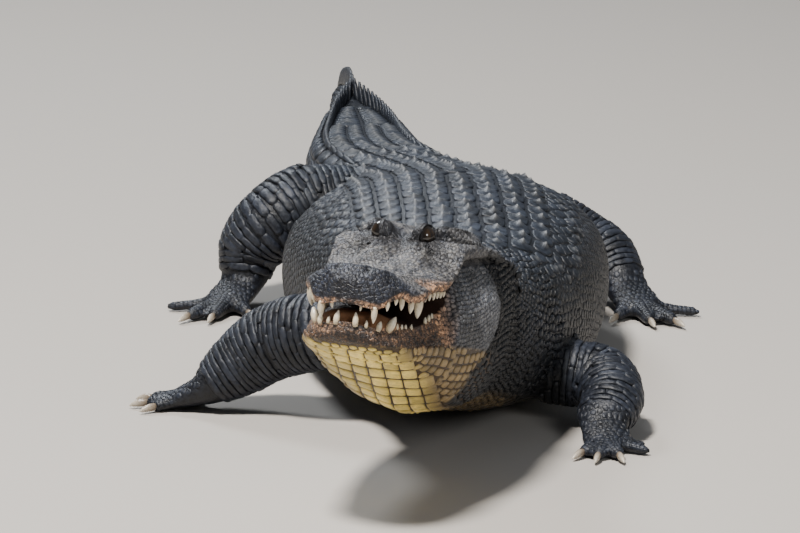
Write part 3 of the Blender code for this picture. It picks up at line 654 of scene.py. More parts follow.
# bosses and hollows: centre (left, behind the snout tip, up), radii, and height
BOSSES = (
    ((0.030, 0.205, 0.100), (0.020, 0.030, 0.020), 0.0020),
    ((0.052, 0.172, 0.064), (0.016, 0.016, 0.016), -0.0040),
    ((0.022, 0.168, 0.066), (0.012, 0.030, 0.016), 0.0030),
    ((0.000, 0.026, 0.046), (0.040, 0.030, 0.030), 0.0040),
    ((0.018, 0.026, 0.054), (0.014, 0.014, 0.012), 0.0022),
    ((0.020, 0.020, 0.056), (0.0040, 0.0060, 0.012), -0.0070),
    ((0.080, 0.082, 0.020), (0.016, 0.016, 0.014), 0.0040),
    ((0.072, 0.052, 0.028), (0.012, 0.010, 0.014), -0.0020),
    ((0.030, 0.120, 0.047), (0.014, 0.050, 0.012), -0.0025),
    ((0.000, 0.300, 0.094), (0.040, 0.040, 0.012), -0.0020),
    ((0.086, 0.262, 0.078), (0.016, 0.040, 0.012), 0.0030),
)
# folds behind the jowl: distance behind its groove, depth and width
JOWL_FOLDS = (
    (0.0, 0.0070, 0.0042), (0.014, 0.0034, 0.0036), (0.027, 0.0026, 0.0036),
    (0.041, 0.0022, 0.0040), (0.057, 0.0022, 0.0045), (0.075, 0.0020, 0.0050),
)
# half-size of the gap between the lids, in degrees of the eyeball, by turn round it
LID_GAP = ((0, 45, 90, 135, 180, 200, 225, 270, 315, 360),
           (50, 58, 52, 45, 58, 68, 52, 41, 44, 50))
LID_DEPTH = 0.0024
# lumps of the hide on the skull: how close they lie, and how high
LUMPS = ((38.0, 0.0016), (95.0, 0.0009), (210.0, 0.0005))
# depth of the skin under its scales, by y, and what the back's plates add
SKIN_DEPTH = ((-0.60, -0.45, -0.30, 0.50, 0.70), (0.0008, 0.0012, 0.0016, 0.0016, 0.0018))
PLATE_DEPTH = 0.0032

# finer mesh round the eyes, nostrils and ear flaps
bm = bmesh.new()
bm.from_mesh(skin.data)
for centre, reach in FINE_ZONES:
    inside = set()
    for v in bm.verts:
        x, u, z = to_head(v.co)
        if math.dist((abs(x), u, z), centre) < reach:
            inside.add(v)
    edges = [e for e in bm.edges if e.verts[0] in inside and e.verts[1] in inside]
    bmesh.ops.subdivide_edges(bm, edges=edges, cuts=1, use_grid_fill=True)
bm.to_mesh(skin.data)
bm.free()


def hill(points, centre, radii):
    return np.exp(-(((points - np.array(centre)) / np.array(radii)) ** 2).sum(axis=1))


def ear_line(u):
    """Height of the ear flap's edge."""
    return 0.0955 - 0.011 * np.clip((u - 0.226) / 0.084, 0, 1)


def ear_window(x, u):
    """Where along the side of the skull the ear flap is."""
    return (smooth_step(0.222, 0.232, u) * smooth_step(0.322, 0.306, u)
            * smooth_step(0.036, 0.046, x))


def folded(local):
    """Points in the head's own frame, with its right side laid on its left."""
    return np.column_stack([np.abs(local[:, 0]), local[:, 1:]])


def relief(points):
    """Height of the head's large forms, for points in the head's own frame."""
    near = folded(points)
    x, u, z = near.T
    height = sum(hill(near, centre, radii) * rise for centre, radii, rise in BOSSES)
    lip = through(UPPER_HEAD, u)[:, 1]
    side = smooth_step(0.050, 0.068, x)
    seam = side * smooth_step(0.180, 0.192, u) * smooth_step(0.365, 0.330, u)
    height -= 0.0055 * seam * np.exp(-((z - lip) / 0.0028) ** 2)
    height += 0.0022 * seam * np.exp(-((z - lip - 0.007) / 0.005) ** 2)
    jowl_u = np.interp(z, *JOWL_REAR)
    band = side * smooth_step(-0.100, -0.075, z) * smooth_step(0.085, 0.065, z)
    for shift, deep, wide in JOWL_FOLDS:
        height -= deep * band * np.exp(-((u - jowl_u - shift) / wide) ** 2)
    above_ear = z - ear_line(u)
    height += 0.0040 * ear_window(x, u) * np.exp(-((above_ear - 0.001) / 0.0055) ** 2)
    height -= 0.0070 * ear_window(x, u) * np.exp(-((above_ear + 0.0085) / 0.0026) ** 2)
    return height


def lids(points, side):
    """Skin near an eye, drawn on to the eyeball as lids and away behind it in the opening."""
    centre = EYE_PLACE * (side, 1, 1)
    look = EYE_LOOK * (side, 1, 1) / np.linalg.norm(EYE_LOOK)
    rear = np.array((0.0, 1.0, 0.0)) - look[1] * look
    rear /= np.linalg.norm(rear)
    up = np.cross(rear, look) * -side
    up /= np.linalg.norm(up)
    spoke = points - centre
    far = np.linalg.norm(spoke, axis=1)
    unit = spoke / far[:, None]
    off = np.degrees(np.arccos(np.clip(unit @ look, -1, 1)))
    turn = np.degrees(np.arctan2(unit @ up, unit @ rear))
    share = off / np.interp(turn % 360.0, *LID_GAP)
    lid = EYE_RADIUS + LID_DEPTH + 0.0008 * np.cos(np.clip(share - 1.0, 0, 1.6) * 14.0)
    goal = np.where(share < 1.0, EYE_RADIUS - 0.0040, lid)
    hold = 1.0 - smooth_step(1.35, 2.3, share)
    hold *= np.where(share < 1.0, 1.0, 1.0 - smooth_step(0.026, 0.036, far))
    drawn = far + hold * (goal - far)
    drawn = np.where((share >= 1.0) & (far < 0.030), np.maximum(drawn, EYE_RADIUS + 0.0018), drawn)
    return centre + unit * drawn[:, None]


def grid_tree(*grids):
    """A tree of the faces of some grids of points."""
    corners, quads = [], []
    for grid in grids:
        grid = np.array(grid)
        start = sum(len(block) for block in corners)
        numbers = start + np.arange(grid.shape[0] * grid.shape[1]).reshape(grid.shape[:2])
        quads += quads_of(numbers).tolist()
        corners.append(grid.reshape(-1, 3))
    return BVHTree.FromPolygons(np.vstack(corners).tolist(), quads)


lining_tree = grid_tree(palate_rows[1:front], floor_rows[1:front])
outside_tree = grid_tree(upper_rows[:front + 70], lower_rows[:front + 70],
                         [upper_rows[0], palate_rows[0]], [lower_rows[0], floor_rows[0]])
points = read_points(skin.data)
normals = read_points(skin.data, "normal")
local = to_head(points)
on_head = (local[:, 1] < 0.48) & (points[:, 1] < -0.40)
shaped = local[on_head]
in_mouth = np.array([shape[1] < MOUTH_CORNER and lining_tree.find_nearest(place)[3] + 2e-4
                     < outside_tree.find_nearest(place)[3]
                     for shape, place in zip(shaped, points[on_head])])
rise = relief(shaped) * ~in_mouth
shaped = shaped + (normals[on_head] @ HEAD_AXES) * rise[:, None]
for side in (1, -1):
    close = np.linalg.norm(shaped - EYE_PLACE * (side, 1, 1), axis=1) < 0.038
    close &= ~in_mouth
    shaped[close] = lids(shaped[close], side)
points[on_head] = from_head(shaped)
write_points(skin.data, points, 0.0)
mouth_lining = np.zeros(len(points))
mouth_lining[np.flatnonzero(on_head)[in_mouth]] = 1.0

# the lumps of the hide, and the skin's depth under its scales
points = read_points(skin.data)
normals = read_points(skin.data, "normal")
local = to_head(points)
depth = np.interp(points[:, 1], *SKIN_DEPTH)
top = smooth_step(0.35, 0.80, normals[:, 2]) * smooth_step(-0.42, -0.30, points[:, 1])
top *= smooth_step(0.10, 0.14, points[:, 2]) * (np.abs(points[:, 0]) < 0.20)
depth = depth + PLATE_DEPTH * top * smooth_step(0.75, 0.55, points[:, 1])
rough = np.zeros(len(points))
skull = (local[:, 1] < 0.40) & (local[:, 2] > -0.050) & (mouth_lining < 0.5)
for i in np.flatnonzero(skull):
    place = Vector(points[i])
    rough[i] = sum(noise.noise(place * scale) * size for scale, size in LUMPS)
calm = smooth_step(EYE_RADIUS + 0.0015, 0.030,
                   np.linalg.norm(folded(local) - EYE_PLACE, axis=1))
points += normals * (rough * calm - depth * (1 - mouth_lining))[:, None]
write_points(skin.data, points, 0.0006)
skin.data.shade_smooth()
on_skin = BVHTree.FromObject(skin, bpy.context.evaluated_depsgraph_get())

# Colours of the hide
# The same marks are laid by place on skin and scales: a slate body with paler keels, partly wear
# and partly a painted highlight, a dark snout, orange lips, a straw-coloured throat and a pale
# belly, with painted shade in the creases, seams, nostrils and mouth and a painted highlight on
# the jowl. Fine grain and pores come from the shader.
SLATE = np.array((0.0140, 0.0170, 0.0250))
FLANK = np.array((0.0070, 0.0080, 0.0100))
BACK = np.array((0.0145, 0.0185, 0.0270))
BELLY = np.array((0.42, 0.36, 0.22))
SKULL = np.array((0.112, 0.111, 0.112))
SNOUT = np.array((0.0180, 0.0220, 0.0340))
LIPS = np.array((0.58, 0.33, 0.185))
JOWL = np.array((0.078, 0.082, 0.090))
THROAT = np.array((0.74, 0.57, 0.155))
THROAT_SEAM = np.array((0.060, 0.036, 0.018))
THROAT_SIDE = np.array((0.22, 0.155, 0.072))
# lining of the mouth: a dark reddish brown, deepened by painted shade
MOUTH_SHADE = np.array((0.050, 0.026, 0.018))
GUM = np.array((0.30, 0.150, 0.075))
LIDS = np.array((0.024, 0.028, 0.038))
# height of the lower edge of the lower lip's band, by distance behind the snout tip
BAND_EDGE = ((0.0, 0.15, 0.22, 0.30, 0.40), (-0.050, -0.047, -0.052, -0.060, -0.070))
# height of the warm band over the upper lip, by distance behind the snout tip
LIP_BAND = ((0.0, 0.02, 0.06, 0.11, 0.17), (0.009, 0.010, 0.012, 0.020, 0.017))
# dark brow, painted shade in the nostril, and painted highlight on the middle of the jowl: centre
# and radii
BROW = ((0.044, 0.192, 0.070), (0.024, 0.022, 0.014))
NOSTRIL_SHADE = ((0.020, 0.020, 0.052), (0.0055, 0.0080, 0.016))
JOWL_PAINTED_HIGHLIGHT = ((0.0, 0.262, 0.000), (9.0, 0.045, 0.036))
PORE_COLOUR = (0.014, 0.012, 0.012, 1.0)
CRACK_COLOUR = (0.016, 0.015, 0.016, 1.0)
SEAM_SHADE = (0.22, 0.20, 0.19, 1.0)
KEEL_WEAR_AND_HIGHLIGHT = (0.34, 0.34, 0.33, 1.0)
DUST_SHADES = ((0.52, 0.60, 0.80, 1.0), (1.55, 1.46, 1.32, 1.0))
RELIEF_DEPTH = 0.0011


def mixed(first, second, share):
    return first + (second - first) * np.asarray(share)[:, None]


def hide_tint(points, lining=0.0):
    """Base colour of the hide at some points of the part, with painted shade in its creases,
    nostrils and mouth and a painted highlight on the jowl.
    """
    near = folded(to_head(points))
    x, u, z = near.T
    y = points[:, 1]
    x0, turn, lean, half, back, wide, belly = through(BODY, y)[:, :7].T
    aside = np.abs(points[:, 0] - x0) / half
    level = (points[:, 2] - wide) / np.where(points[:, 2] > wide, back - wide, wide - belly)
    # body: back, flanks, tail, belly and legs
    tint = mixed(FLANK, BACK, smooth_step(0.30, 0.92, level))
    tail = smooth_step(0.50, 0.68, y)
    tint = mixed(tint, SLATE, tail * smooth_step(0.9, 0.2, level))
    tint = mixed(tint, BELLY, smooth_step(-0.70, -0.95, level) * smooth_step(1.25, 1.0, aside)
                 * smooth_step(-0.36, -0.20, y))
    legs = smooth_step(0.95, 1.12, aside) * (tail < 0.5) * (y > -0.62)
    tint = mixed(tint, SLATE * 0.95, legs)

    # upper head: skull, dark snout, warm lip, lids and brow
    lip = through(UPPER_HEAD, u)[:, 1]
    low = lower_lip(u)
    face = mixed(SKULL, SLATE * 1.3, smooth_step(0.26, 0.40, u))
    nose = smooth_step(0.100, 0.058, u + 0.25 * x) * smooth_step(0.002, 0.007, z - lip)
    face = mixed(face, SNOUT, nose)
    side = smooth_step(0.030, 0.062, x + 0.04 * smooth_step(0.03, 0.0, u))
    tall = np.interp(u, *LIP_BAND)
    warm = side * smooth_step(1.0, 0.45, (z - lip) / tall) * smooth_step(0.182, 0.160, u)
    face = mixed(face, LIPS, 0.90 * warm)
    eye = np.linalg.norm(near - EYE_PLACE, axis=1)
    face = mixed(face, LIDS, 0.92 * smooth_step(0.041, 0.026, eye))
    face = face * (1 - 0.60 * hill(near, *BROW))[:, None]

    # lower head: band of the lip, jowl, throat, and the neck behind them
    jaw = smooth_step(0.002, -0.004, z - np.where(u < MOUTH_CORNER, 0.5 * (lip + low), lip))
    band = smooth_step(-0.030, -0.012, z - low + 0.3 * (u - 0.08))
    under = mixed(JOWL, LIPS, smooth_step(0.195, 0.150, u) * band * 0.9)
    under = mixed(under, LIPS * (0.58, 0.62, 0.68), smooth_step(0.165, 0.120, u) * 0.80)
    # painted highlight on the middle of the jowl's bulge
    under = mixed(under, JOWL * 2.8, hill(near, *JOWL_PAINTED_HIGHLIGHT))
    edge = np.interp(u, *BAND_EDGE)
    pale = mixed(THROAT, THROAT_SIDE,
                 smooth_step(0.040, 0.085, x + 0.20 * np.maximum(u - 0.16, 0)))
    pale = mixed(pale, SLATE, smooth_step(0.29, 0.36, u) * smooth_step(0.05, 0.09, x))
    under = mixed(under, LIPS * 0.22,
                  smooth_step(0.016, 0.006, z - edge) * smooth_step(0.20, 0.10, u))
    under = mixed(under, pale, smooth_step(0.003, -0.004, z - edge))
    jowl_u = np.interp(z, *JOWL_REAR)
    behind = smooth_step(-0.006, 0.004, u - jowl_u) * smooth_step(0.05, 0.07, x)
    face = mixed(face, mixed(under, FLANK, behind), jaw)

    # painted shade in the creases: over and under the ear flap, along the jaw, behind the jowl,
    # round the eye, and in the nostril
    ear = ear_window(x, u)
    above_ear = z - ear_line(u)
    outer = smooth_step(0.050, 0.068, x)
    painted_crease_shade = ear * np.exp(-((above_ear + 0.0085) / 0.0045) ** 2)
    painted_crease_shade += 0.8 * ear * np.exp(-((above_ear - 0.010) / 0.0040) ** 2)
    painted_crease_shade += outer * smooth_step(0.180, 0.195, u) * np.exp(-((z - lip) / 0.0060) ** 2)
    painted_crease_shade += outer * np.exp(-((u - jowl_u + 0.002) / 0.0065) ** 2) * (z > edge)
    painted_crease_shade += hill(near, *NOSTRIL_SHADE)
    painted_crease_shade += 0.8 * np.exp(-((eye - 0.0205) / 0.0022) ** 2)
    face = face * (1 - 0.85 * np.clip(painted_crease_shade, 0, 1))[:, None]
    head = smooth_step(0.440, 0.395, u) * (y < -0.40) * (x < 0.16)
    tint = mixed(tint, face, head)
    pale_neck = smooth_step(0.09, 0.05, x) * smooth_step(-0.30, -0.42, y)
    pale_neck *= smooth_step(-0.80, -0.97, level) * (u > 0.38)
    tint = mixed(tint, THROAT_SIDE * 0.5, pale_neck)
    # the lining is painted dark with shade, with lighter gum near the front of the lower lip
    gum = smooth_step(0.085, 0.050, u) * smooth_step(0.012, 0.004, z - low - 0.020)
    return mixed(tint, mixed(MOUTH_SHADE, GUM, gum), np.broadcast_to(lining, len(points)))


def under_head(points):
    """Which points lie on the throat, under the band of the lower lip."""
    x, u, z = to_head(points).T
    return (np.abs(x) < 0.13) & (u < 0.42) & (z < np.interp(u, *BAND_EDGE))


def speckle(points):
    """How strongly the dark pores show: most on the face and lips, not at all on the throat."""
    face = smooth_step(0.36, 0.22, to_head(points)[:, 1]) * (points[:, 1] < -0.40)
    return (0.25 + 0.75 * face) * ~under_head(points)


def lay_values(mesh, tint, crown, pores):
    colour = mesh.color_attributes.new("tint", "FLOAT_COLOR", "POINT")
    colour.data.foreach_set("color", np.column_stack([tint, np.ones(len(tint))]).ravel())
    for name, values in (("crown", crown), ("pores", pores)):
        layer = mesh.attributes.new(name, "FLOAT", "POINT")
        layer.data.foreach_set("value", np.broadcast_to(values, len(tint)).astype(np.float32))


def math_node(tree, kind, first, second, clamp=False):
    node = tree.nodes.new("ShaderNodeMath")
    node.operation = kind
    node.use_clamp = clamp
    for place, value in zip(node.inputs, (first, second)):
        if isinstance(value, (int, float)):
            place.default_value = value
        else:
            tree.links.new(value, place)
    return node.outputs[0]


def mix_colour(tree, share, first, second, kind="MIX"):
    node = tree.nodes.new("ShaderNodeMix")
    node.data_type = "RGBA"
    node.blend_type = kind
    for number, value in ((0, share), (6, first), (7, second)):
        place = node.inputs[number]
        if isinstance(value, (int, float, tuple)):
            place.default_value = value
        else:
            tree.links.new(value, place)
    return node.outputs[2]


def texture(tree, scale, detail=None, kind="ShaderNodeTexNoise"):
    """Noise or cells laid out in the part's own frame."""
    node = tree.nodes.new(kind)
    place = tree.nodes.new("ShaderNodeTexCoord").outputs["Object"]
    tree.links.new(place, node.inputs["Vector"])
    node.inputs["Scale"].default_value = scale
    if detail is not None:
        node.inputs["Detail"].default_value = detail
    return node


def attribute(tree, name):
    """What a mesh's points carry under a name."""
    node = tree.nodes.new("ShaderNodeAttribute")
    node.attribute_name = name
    return node.outputs


def add_relief(tree, shader, height, distance, strength=1.0):
    bump = tree.nodes.new("ShaderNodeBump")
    bump.inputs["Strength"].default_value = strength
    bump.inputs["Distance"].default_value = distance
    tree.links.new(height, bump.inputs["Height"])
    tree.links.new(bump.outputs["Normal"], shader.inputs["Normal"])


# grain of the hide: a group that turns marks and height into colour, roughness and fine relief;
# the colour takes painted shade in the seams and pale keels that are partly wear and partly
# painted highlight
grain = bpy.data.node_groups.new("hide grain", "ShaderNodeTree")
for name, way, kind in (("Tint", "INPUT", "Color"), ("Crown", "INPUT", "Float"),
                        ("Pores", "INPUT", "Float"), ("Color", "OUTPUT", "Color"),
                        ("Roughness", "OUTPUT", "Float"), ("Height", "OUTPUT", "Float")):
    grain.interface.new_socket(name, in_out=way, socket_type="NodeSocket" + kind)
marks = grain.nodes.new("NodeGroupInput").outputs
result = grain.nodes.new("NodeGroupOutput").inputs
base, crown, pores = marks["Tint"], marks["Crown"], marks["Pores"]


def times(first, second, clamp=False):
    return math_node(grain, "MULTIPLY", first, second, clamp)


def plus(first, second):
    return math_node(grain, "ADD", first, second)


def less(first, second, clamp=False):
    return math_node(grain, "SUBTRACT", first, second, clamp)


def blend(share, first, second, kind="MIX"):
    return mix_colour(grain, share, first, second, kind)


patches = texture(grain, 24.0, 5.0).outputs["Fac"]
mottle = texture(grain, 150.0, 3.0).outputs["Fac"]
fine = texture(grain, 900.0, 2.0).outputs["Fac"]
cells = texture(grain, 360.0, kind="ShaderNodeTexVoronoi").outputs["Distance"]
edges = texture(grain, 165.0, kind="ShaderNodeTexVoronoi")
edges.feature = "DISTANCE_TO_EDGE"
crack = times(less(1.0, times(edges.outputs["Distance"], 7.0, True)), pores, True)
dots = times(less(0.62, cells), 2.2, True)
pore = times(times(less(1.0, dots), pores, True), 0.70, True)
# worn and dusty patches, stronger where there are pores
shade = plus(plus(times(patches, 2.6), times(mottle, 2.6)), times(fine, 1.6))
shade = math_node(grain, "MAXIMUM", less(shade, 2.35), 0.16)
calm = plus(times(shade, 0.35), 0.65)
clean = blend(1.0, base, calm, "MULTIPLY")
hide_colour = blend(times(pores, 12.0, True), clean, blend(1.0, base, shade, "MULTIPLY"))
dust = blend(times(less(mottle, 0.36), 3.4, True), *DUST_SHADES)
hide_colour = blend(times(pores, 1.6, True), hide_colour, blend(1.0, hide_colour, dust, "MULTIPLY"))
# dark pores and cracks, painted shade in the seams, and pale keels that are partly wear and partly
# painted highlight
hide_colour = blend(pore, hide_colour, PORE_COLOUR)
hide_colour = blend(times(crack, 0.65), hide_colour, CRACK_COLOUR)
hide_colour = blend(math_node(grain, "POWER", crown, 0.6), blend(1.0, hide_colour, SEAM_SHADE, "MULTIPLY"), hide_colour)
hide_colour = blend(times(less(crown, 1.0, True), 0.62, True), hide_colour, KEEL_WEAR_AND_HIGHLIGHT)
rough = plus(0.28, times(mottle, 0.36))
height = plus(plus(times(fine, 0.35), times(mottle, 1.3)), times(pore, -0.5))
height = less(height, times(crack, 0.9))
for name, value in (("Color", hide_colour), ("Roughness", rough), ("Height", height)):
    grain.links.new(value, result[name])

hide, tree, shader = new_finish("hide")
shader.inputs["Specular IOR Level"].default_value = 0.38
used = tree.nodes.new("ShaderNodeGroup")
used.node_tree = grain
tree.links.new(attribute(tree, "tint")["Color"], used.inputs["Tint"])
tree.links.new(attribute(tree, "crown")["Fac"], used.inputs["Crown"])
tree.links.new(attribute(tree, "pores")["Fac"], used.inputs["Pores"])
tree.links.new(used.outputs["Color"], shader.inputs["Base Color"])
tree.links.new(used.outputs["Roughness"], shader.inputs["Roughness"])
add_relief(tree, shader, used.outputs["Height"], RELIEF_DEPTH, 0.8)

points = read_points(skin.data)
x, u, z = to_head(points).T
# the skin's crown: the lower it is, the more the painted seam shade darkens the skin
skin_crown = np.where((u > 0.155) & (z < 0.045), 0.35, np.where(u < 0.36, 0.57, 0.18))
skin_crown = np.where(points[:, 1] < -0.40, skin_crown, 0.30)
skin_crown = np.where((z < -0.05) & (points[:, 1] < -0.45), 0.60, skin_crown)
skin_tint = hide_tint(points, mouth_lining)
skin_tint[under_head(points)] = THROAT_SEAM
lay_values(skin.data, skin_tint, skin_crown, speckle(points) * (1 - mouth_lining))
skin.data.materials.append(hide)

# Scales
# Every scale is a small closed plate, round or squared against its neighbours, that sits on the
# skin: keeled plates in rows along the back, whorls round the tail, pebbles on flanks and neck.

# what each kind of scale is: its piece, points round its edge, height, keel, squareness, seam
KINDS = {
    "dorsal": ("coat_back", 24, 0.0032, 0.0062, 14.0, 0.0042),
    "side": ("coat_flanks", 12, 0.0020, 0.0018, 7.0, 0.0016),
    "flank": ("coat_flanks", 10, 0.0010, 0.0000, 9.0, 0.0011),
    "belly": ("coat_belly", 16, 0.0018, 0.0000, 20.0, 0.0014),
    "neck": ("coat_neck", 12, 0.0030, 0.0012, 8.0, 0.0013),
    "face": ("coat_face", 8, 0.0007, 0.0000, 7.0, 0.0006),
    "jowl": ("coat_jowl", 10, 0.0013, 0.0000, 8.0, 0.0007),
    "throat": ("coat_throat", 20, 0.0021, 0.0000, 10.0, 0.0020),
    "tail_top": ("coat_tail", 16, 0.0036, 0.0030, 16.0, 0.0018),
    "tail_side": ("coat_tail", 16, 0.0030, 0.0000, 14.0, 0.0018),
    "leg": ("coat_legs", 18, 0.0038, 0.0000, 20.0, 0.0008),
    "palm": ("coat_feet", 10, 0.0015, 0.0000, 8.0, 0.0009),
    "toe": ("coat_feet", 10, 0.0013, 0.0000, 12.0, 0.0008),
}
# how far a scale without neighbours reaches, in radii
LIMITS = {"throat": 1.15}
LIMIT = 1.35
# share of the outline and of the height, ring by ring inward
TILE_RINGS = {
    "plain": ((1.00, -1.0), (0.94, 0.55), (0.68, 0.95)),
    "keeled": ((1.00, -1.0), (0.97, 0.60), (0.86, 0.90), (0.60, 1.0), (0.36, 1.0), (0.16, 1.0)),
}
BASE_DEPTH = 0.0016
# least crown of a face scale, so that the painted seam shade stays light on the face
FACE_SEAM = 0.40
# a keel: half-width, and where it rises and falls from front to back, in radii of its scale
KEEL_HALF = 0.26
KEEL_RISE = (-0.60, 0.38)
KEEL_FALL = (0.98, 0.58)
# how far a seed of each kind may stray from its place, in diameters
JITTER = {"face": 0.26, "neck": 0.22, "flank": 0.22, "jowl": 0.22, "throat": 0.03, "side": 0.12,
          "leg": 0.04, "palm": 0.25, "toe": 0.05, "dorsal": 0.06}
CELL = 0.045
LOWEST_SEED = 0.0035
EYE_CLEAR = 0.026
# keeled plates of the back: width of a column and length of a row; nuchal plates: mile and girth
COLUMN = 0.0366
ROW = 0.043
NUCHAL = ((0.0, 0.020), (0.0, 0.057), (0.042, 0.022))
# whorls of the tail: length of the first, and of each next as a share of the one before
WHORL = 0.0400
WHORL_SHRINK = 0.978
THROAT_PLATE = 0.0215
THROAT_ROW = 0.0325
THROAT_HALF = 0.074
# the columns of plates slant across the throat: girth at two places behind the snout tip
SLANT = ((0.03, 0.040), (0.30, -0.010))
LEG_PITCH = 0.0096
LEG_ACROSS = 0.0370
PALM_PITCH = 0.0080
TOE_PITCH = 0.0068
TOE_ANGLES = (15, 55, 90, 125, 165)
# unwrap: length of the whole, place of the back's midline, spread of girths, size of a scale
UNWRAP_LENGTH = 3.4
UNWRAP_MIDDLE = 0.68
PLATE_SPREAD = 0.66
BAND_SPREAD = 0.30 / 0.45
PATCH = 0.0015

above, below = np.array(upper_rows), np.array(lower_rows)
# points from the midline of the back down each side to the midline of the belly
HALF_RINGS = {
    1: np.concatenate([above[:, QUARTER::-1], below[:, 1:QUARTER + 1]], axis=1),
    -1: np.concatenate([above[:, QUARTER:], below[:, 2 * QUARTER - 1:QUARTER - 1:-1]], axis=1),
}
axis_line = 0.5 * (above[:, QUARTER] + below[:, QUARTER])


def run_of(line):
    """Distances of a line's points from its start."""
    steps = np.linalg.norm(np.diff(line, axis=0), axis=1)
    return np.concatenate([[0.0], np.cumsum(steps)])


ring_miles = run_of(axis_line)
ring_us = to_head(axis_line)[:, 1]
lip_us = np.linspace(0.0, HEAD_LENGTH, 200)
lip_line = through(UPPER_HEAD, lip_us)[:, 1]


def mile_of_y(y):
    return float(np.interp(y, axis_line[:, 1], ring_miles))


def mile_of_u(u):
    last = int(np.searchsorted(ring_us, 0.6))
    return float(np.interp(u, ring_us[:last], ring_miles[:last]))


def at_mile(mile):
    i = int(np.clip(np.searchsorted(ring_miles, mile) - 1, 0, len(ring_miles) - 2))
    return i, (mile - ring_miles[i]) / (ring_miles[i + 1] - ring_miles[i])


def ring_at(side, mile, bottom=False):
    """Points of one side's half ring at a mile, and their distances from its start."""
    i, t = at_mile(mile)
    rings = HALF_RINGS[side]
    ring = rings[i] * (1 - t) + rings[i + 1] * t
    if bottom:
        ring = ring[::-1]
    return ring, run_of(ring)


def on_ring(ring, run, girth):
    return np.array([np.interp(girth, run, column) for column in ring.T])


def course(mile, count=2):
    """The way to the rear at a mile, over some rings."""
    i = at_mile(mile)[0]
    return axis_line[min(i + count, len(axis_line) - 1)] - axis_line[i]


def root_at(mile, girth, spread=PLATE_SPREAD):
    """A scale's place in the unwrap, by mile and by girth to the left."""
    return mile / UNWRAP_LENGTH, UNWRAP_MIDDLE + spread * girth


def allowed(kind, local):
    """Whether a scale of this kind may lie at a place of the head."""
    x, u, z = local
    lip = float(np.interp(u, lip_us, lip_line))
    if kind == "face":
        return (abs(x) > 0.012 or u < 0.40) and z > lip + 0.003
    if u > 0.40 or kind not in ("throat", "jowl"):
        return True
    edge = float(np.interp(u, *BAND_EDGE))
    if kind == "throat":
        return z < edge - 0.003
    return (edge < z < lip - 0.007 and u > 0.150) or (z > lip + 0.012 and u > 0.235)


seeds = []
taken = {}
jitter = np.random.default_rng(11)


def near_taken(point, radius, closeness):
    home = tuple(int(v // CELL) for v in point)
    for dx, dy, dz in product((-1, 0, 1), repeat=3):
        for other, reach in taken.get((home[0] + dx, home[1] + dy, home[2] + dz), ()):
            if math.dist(point, other) < closeness * (radius + reach):
                return True
    return False


def sow(kind, point, rear, radius, root, snap=0.007, closeness=0.62, shape=None):
    """Sets a scale's seed on the skin, unless another is too near."""
    loose = JITTER.get(kind, 0.0) * 2 * radius
    point = np.asarray(point) + jitter.uniform(-loose, loose, 3)
    found, normal, _, gap = on_skin.find_nearest(Vector(point))
    if gap > snap or found.z < LOWEST_SEED or near_taken(found, radius, closeness):
        return
    local = to_head(np.array(found))
    if not allowed(kind, local):
        return
    if local[1] < 0.24 and math.dist((abs(local[0]), *local[1:]), EYE_PLACE) < EYE_CLEAR:
        return
    taken.setdefault(tuple(int(v // CELL) for v in found), []).append((tuple(found), radius))
    seeds.append((kind, np.array(found), np.array(normal), np.array(rear), radius, root, shape))


def sow_band(kind, first, last, pitch, low, high, across, bottom, stagger):
    """Rows of seeds on both sides between two miles, from one girth distance to another."""
    mile = first
    row = 0
    while mile < last:
        begin, end = (edge(mile) if callable(edge) else edge for edge in (low, high))
        for side in (1, -1):
            ring, run = ring_at(side, mile, bottom)
            girth = begin + across * (0.5 + (0.5 * (row % 2) if stagger else 0.0))
            while girth < min(end, run[-1]):
                around = girth if not bottom else run[-1] - girth
                sow(kind, on_ring(ring, run, girth), course(mile), 0.25 * (pitch + across),
                    root_at(mile, side * around, BAND_SPREAD))
                girth += across
        mile += pitch
        row += 1


shoulder, hip, tail_start = mile_of_y(-0.36), mile_of_y(0.50), mile_of_y(0.585)
tail_end = mile_of_y(1.87)


def columns_wide(mile):
    """Half the girth that the keeled field of the back covers."""
    return COLUMN * float(np.interp(mile, (shoulder, shoulder + 0.08, hip - 0.22, hip, tail_start),
                                    (2.0, 4.0, 4.0, 3.0, 2.0)))


# keeled field of the back, and the nuchal plates on the neck
for side in (1, -1):
    for beyond, girth in NUCHAL:
        mile = mile_of_y(-0.485) + beyond
        sow("dorsal", on_ring(*ring_at(side, mile), girth), course(mile), 0.019,
            root_at(mile, side * girth))
mile = shoulder
while mile < tail_start:
    squeeze = float(np.interp(mile, (hip, tail_start), (1.0, 0.95)))
    for side, column in product((1, -1), (0.5, 1.5, 2.5, 3.5)):
        if (column + 0.5) * COLUMN > columns_wide(mile) + 0.012:
            continue
        girth = column * COLUMN * squeeze
        sow("dorsal", on_ring(*ring_at(side, mile), girth), course(mile), 0.5 * COLUMN,
            root_at(mile, side * girth))
    mile += ROW

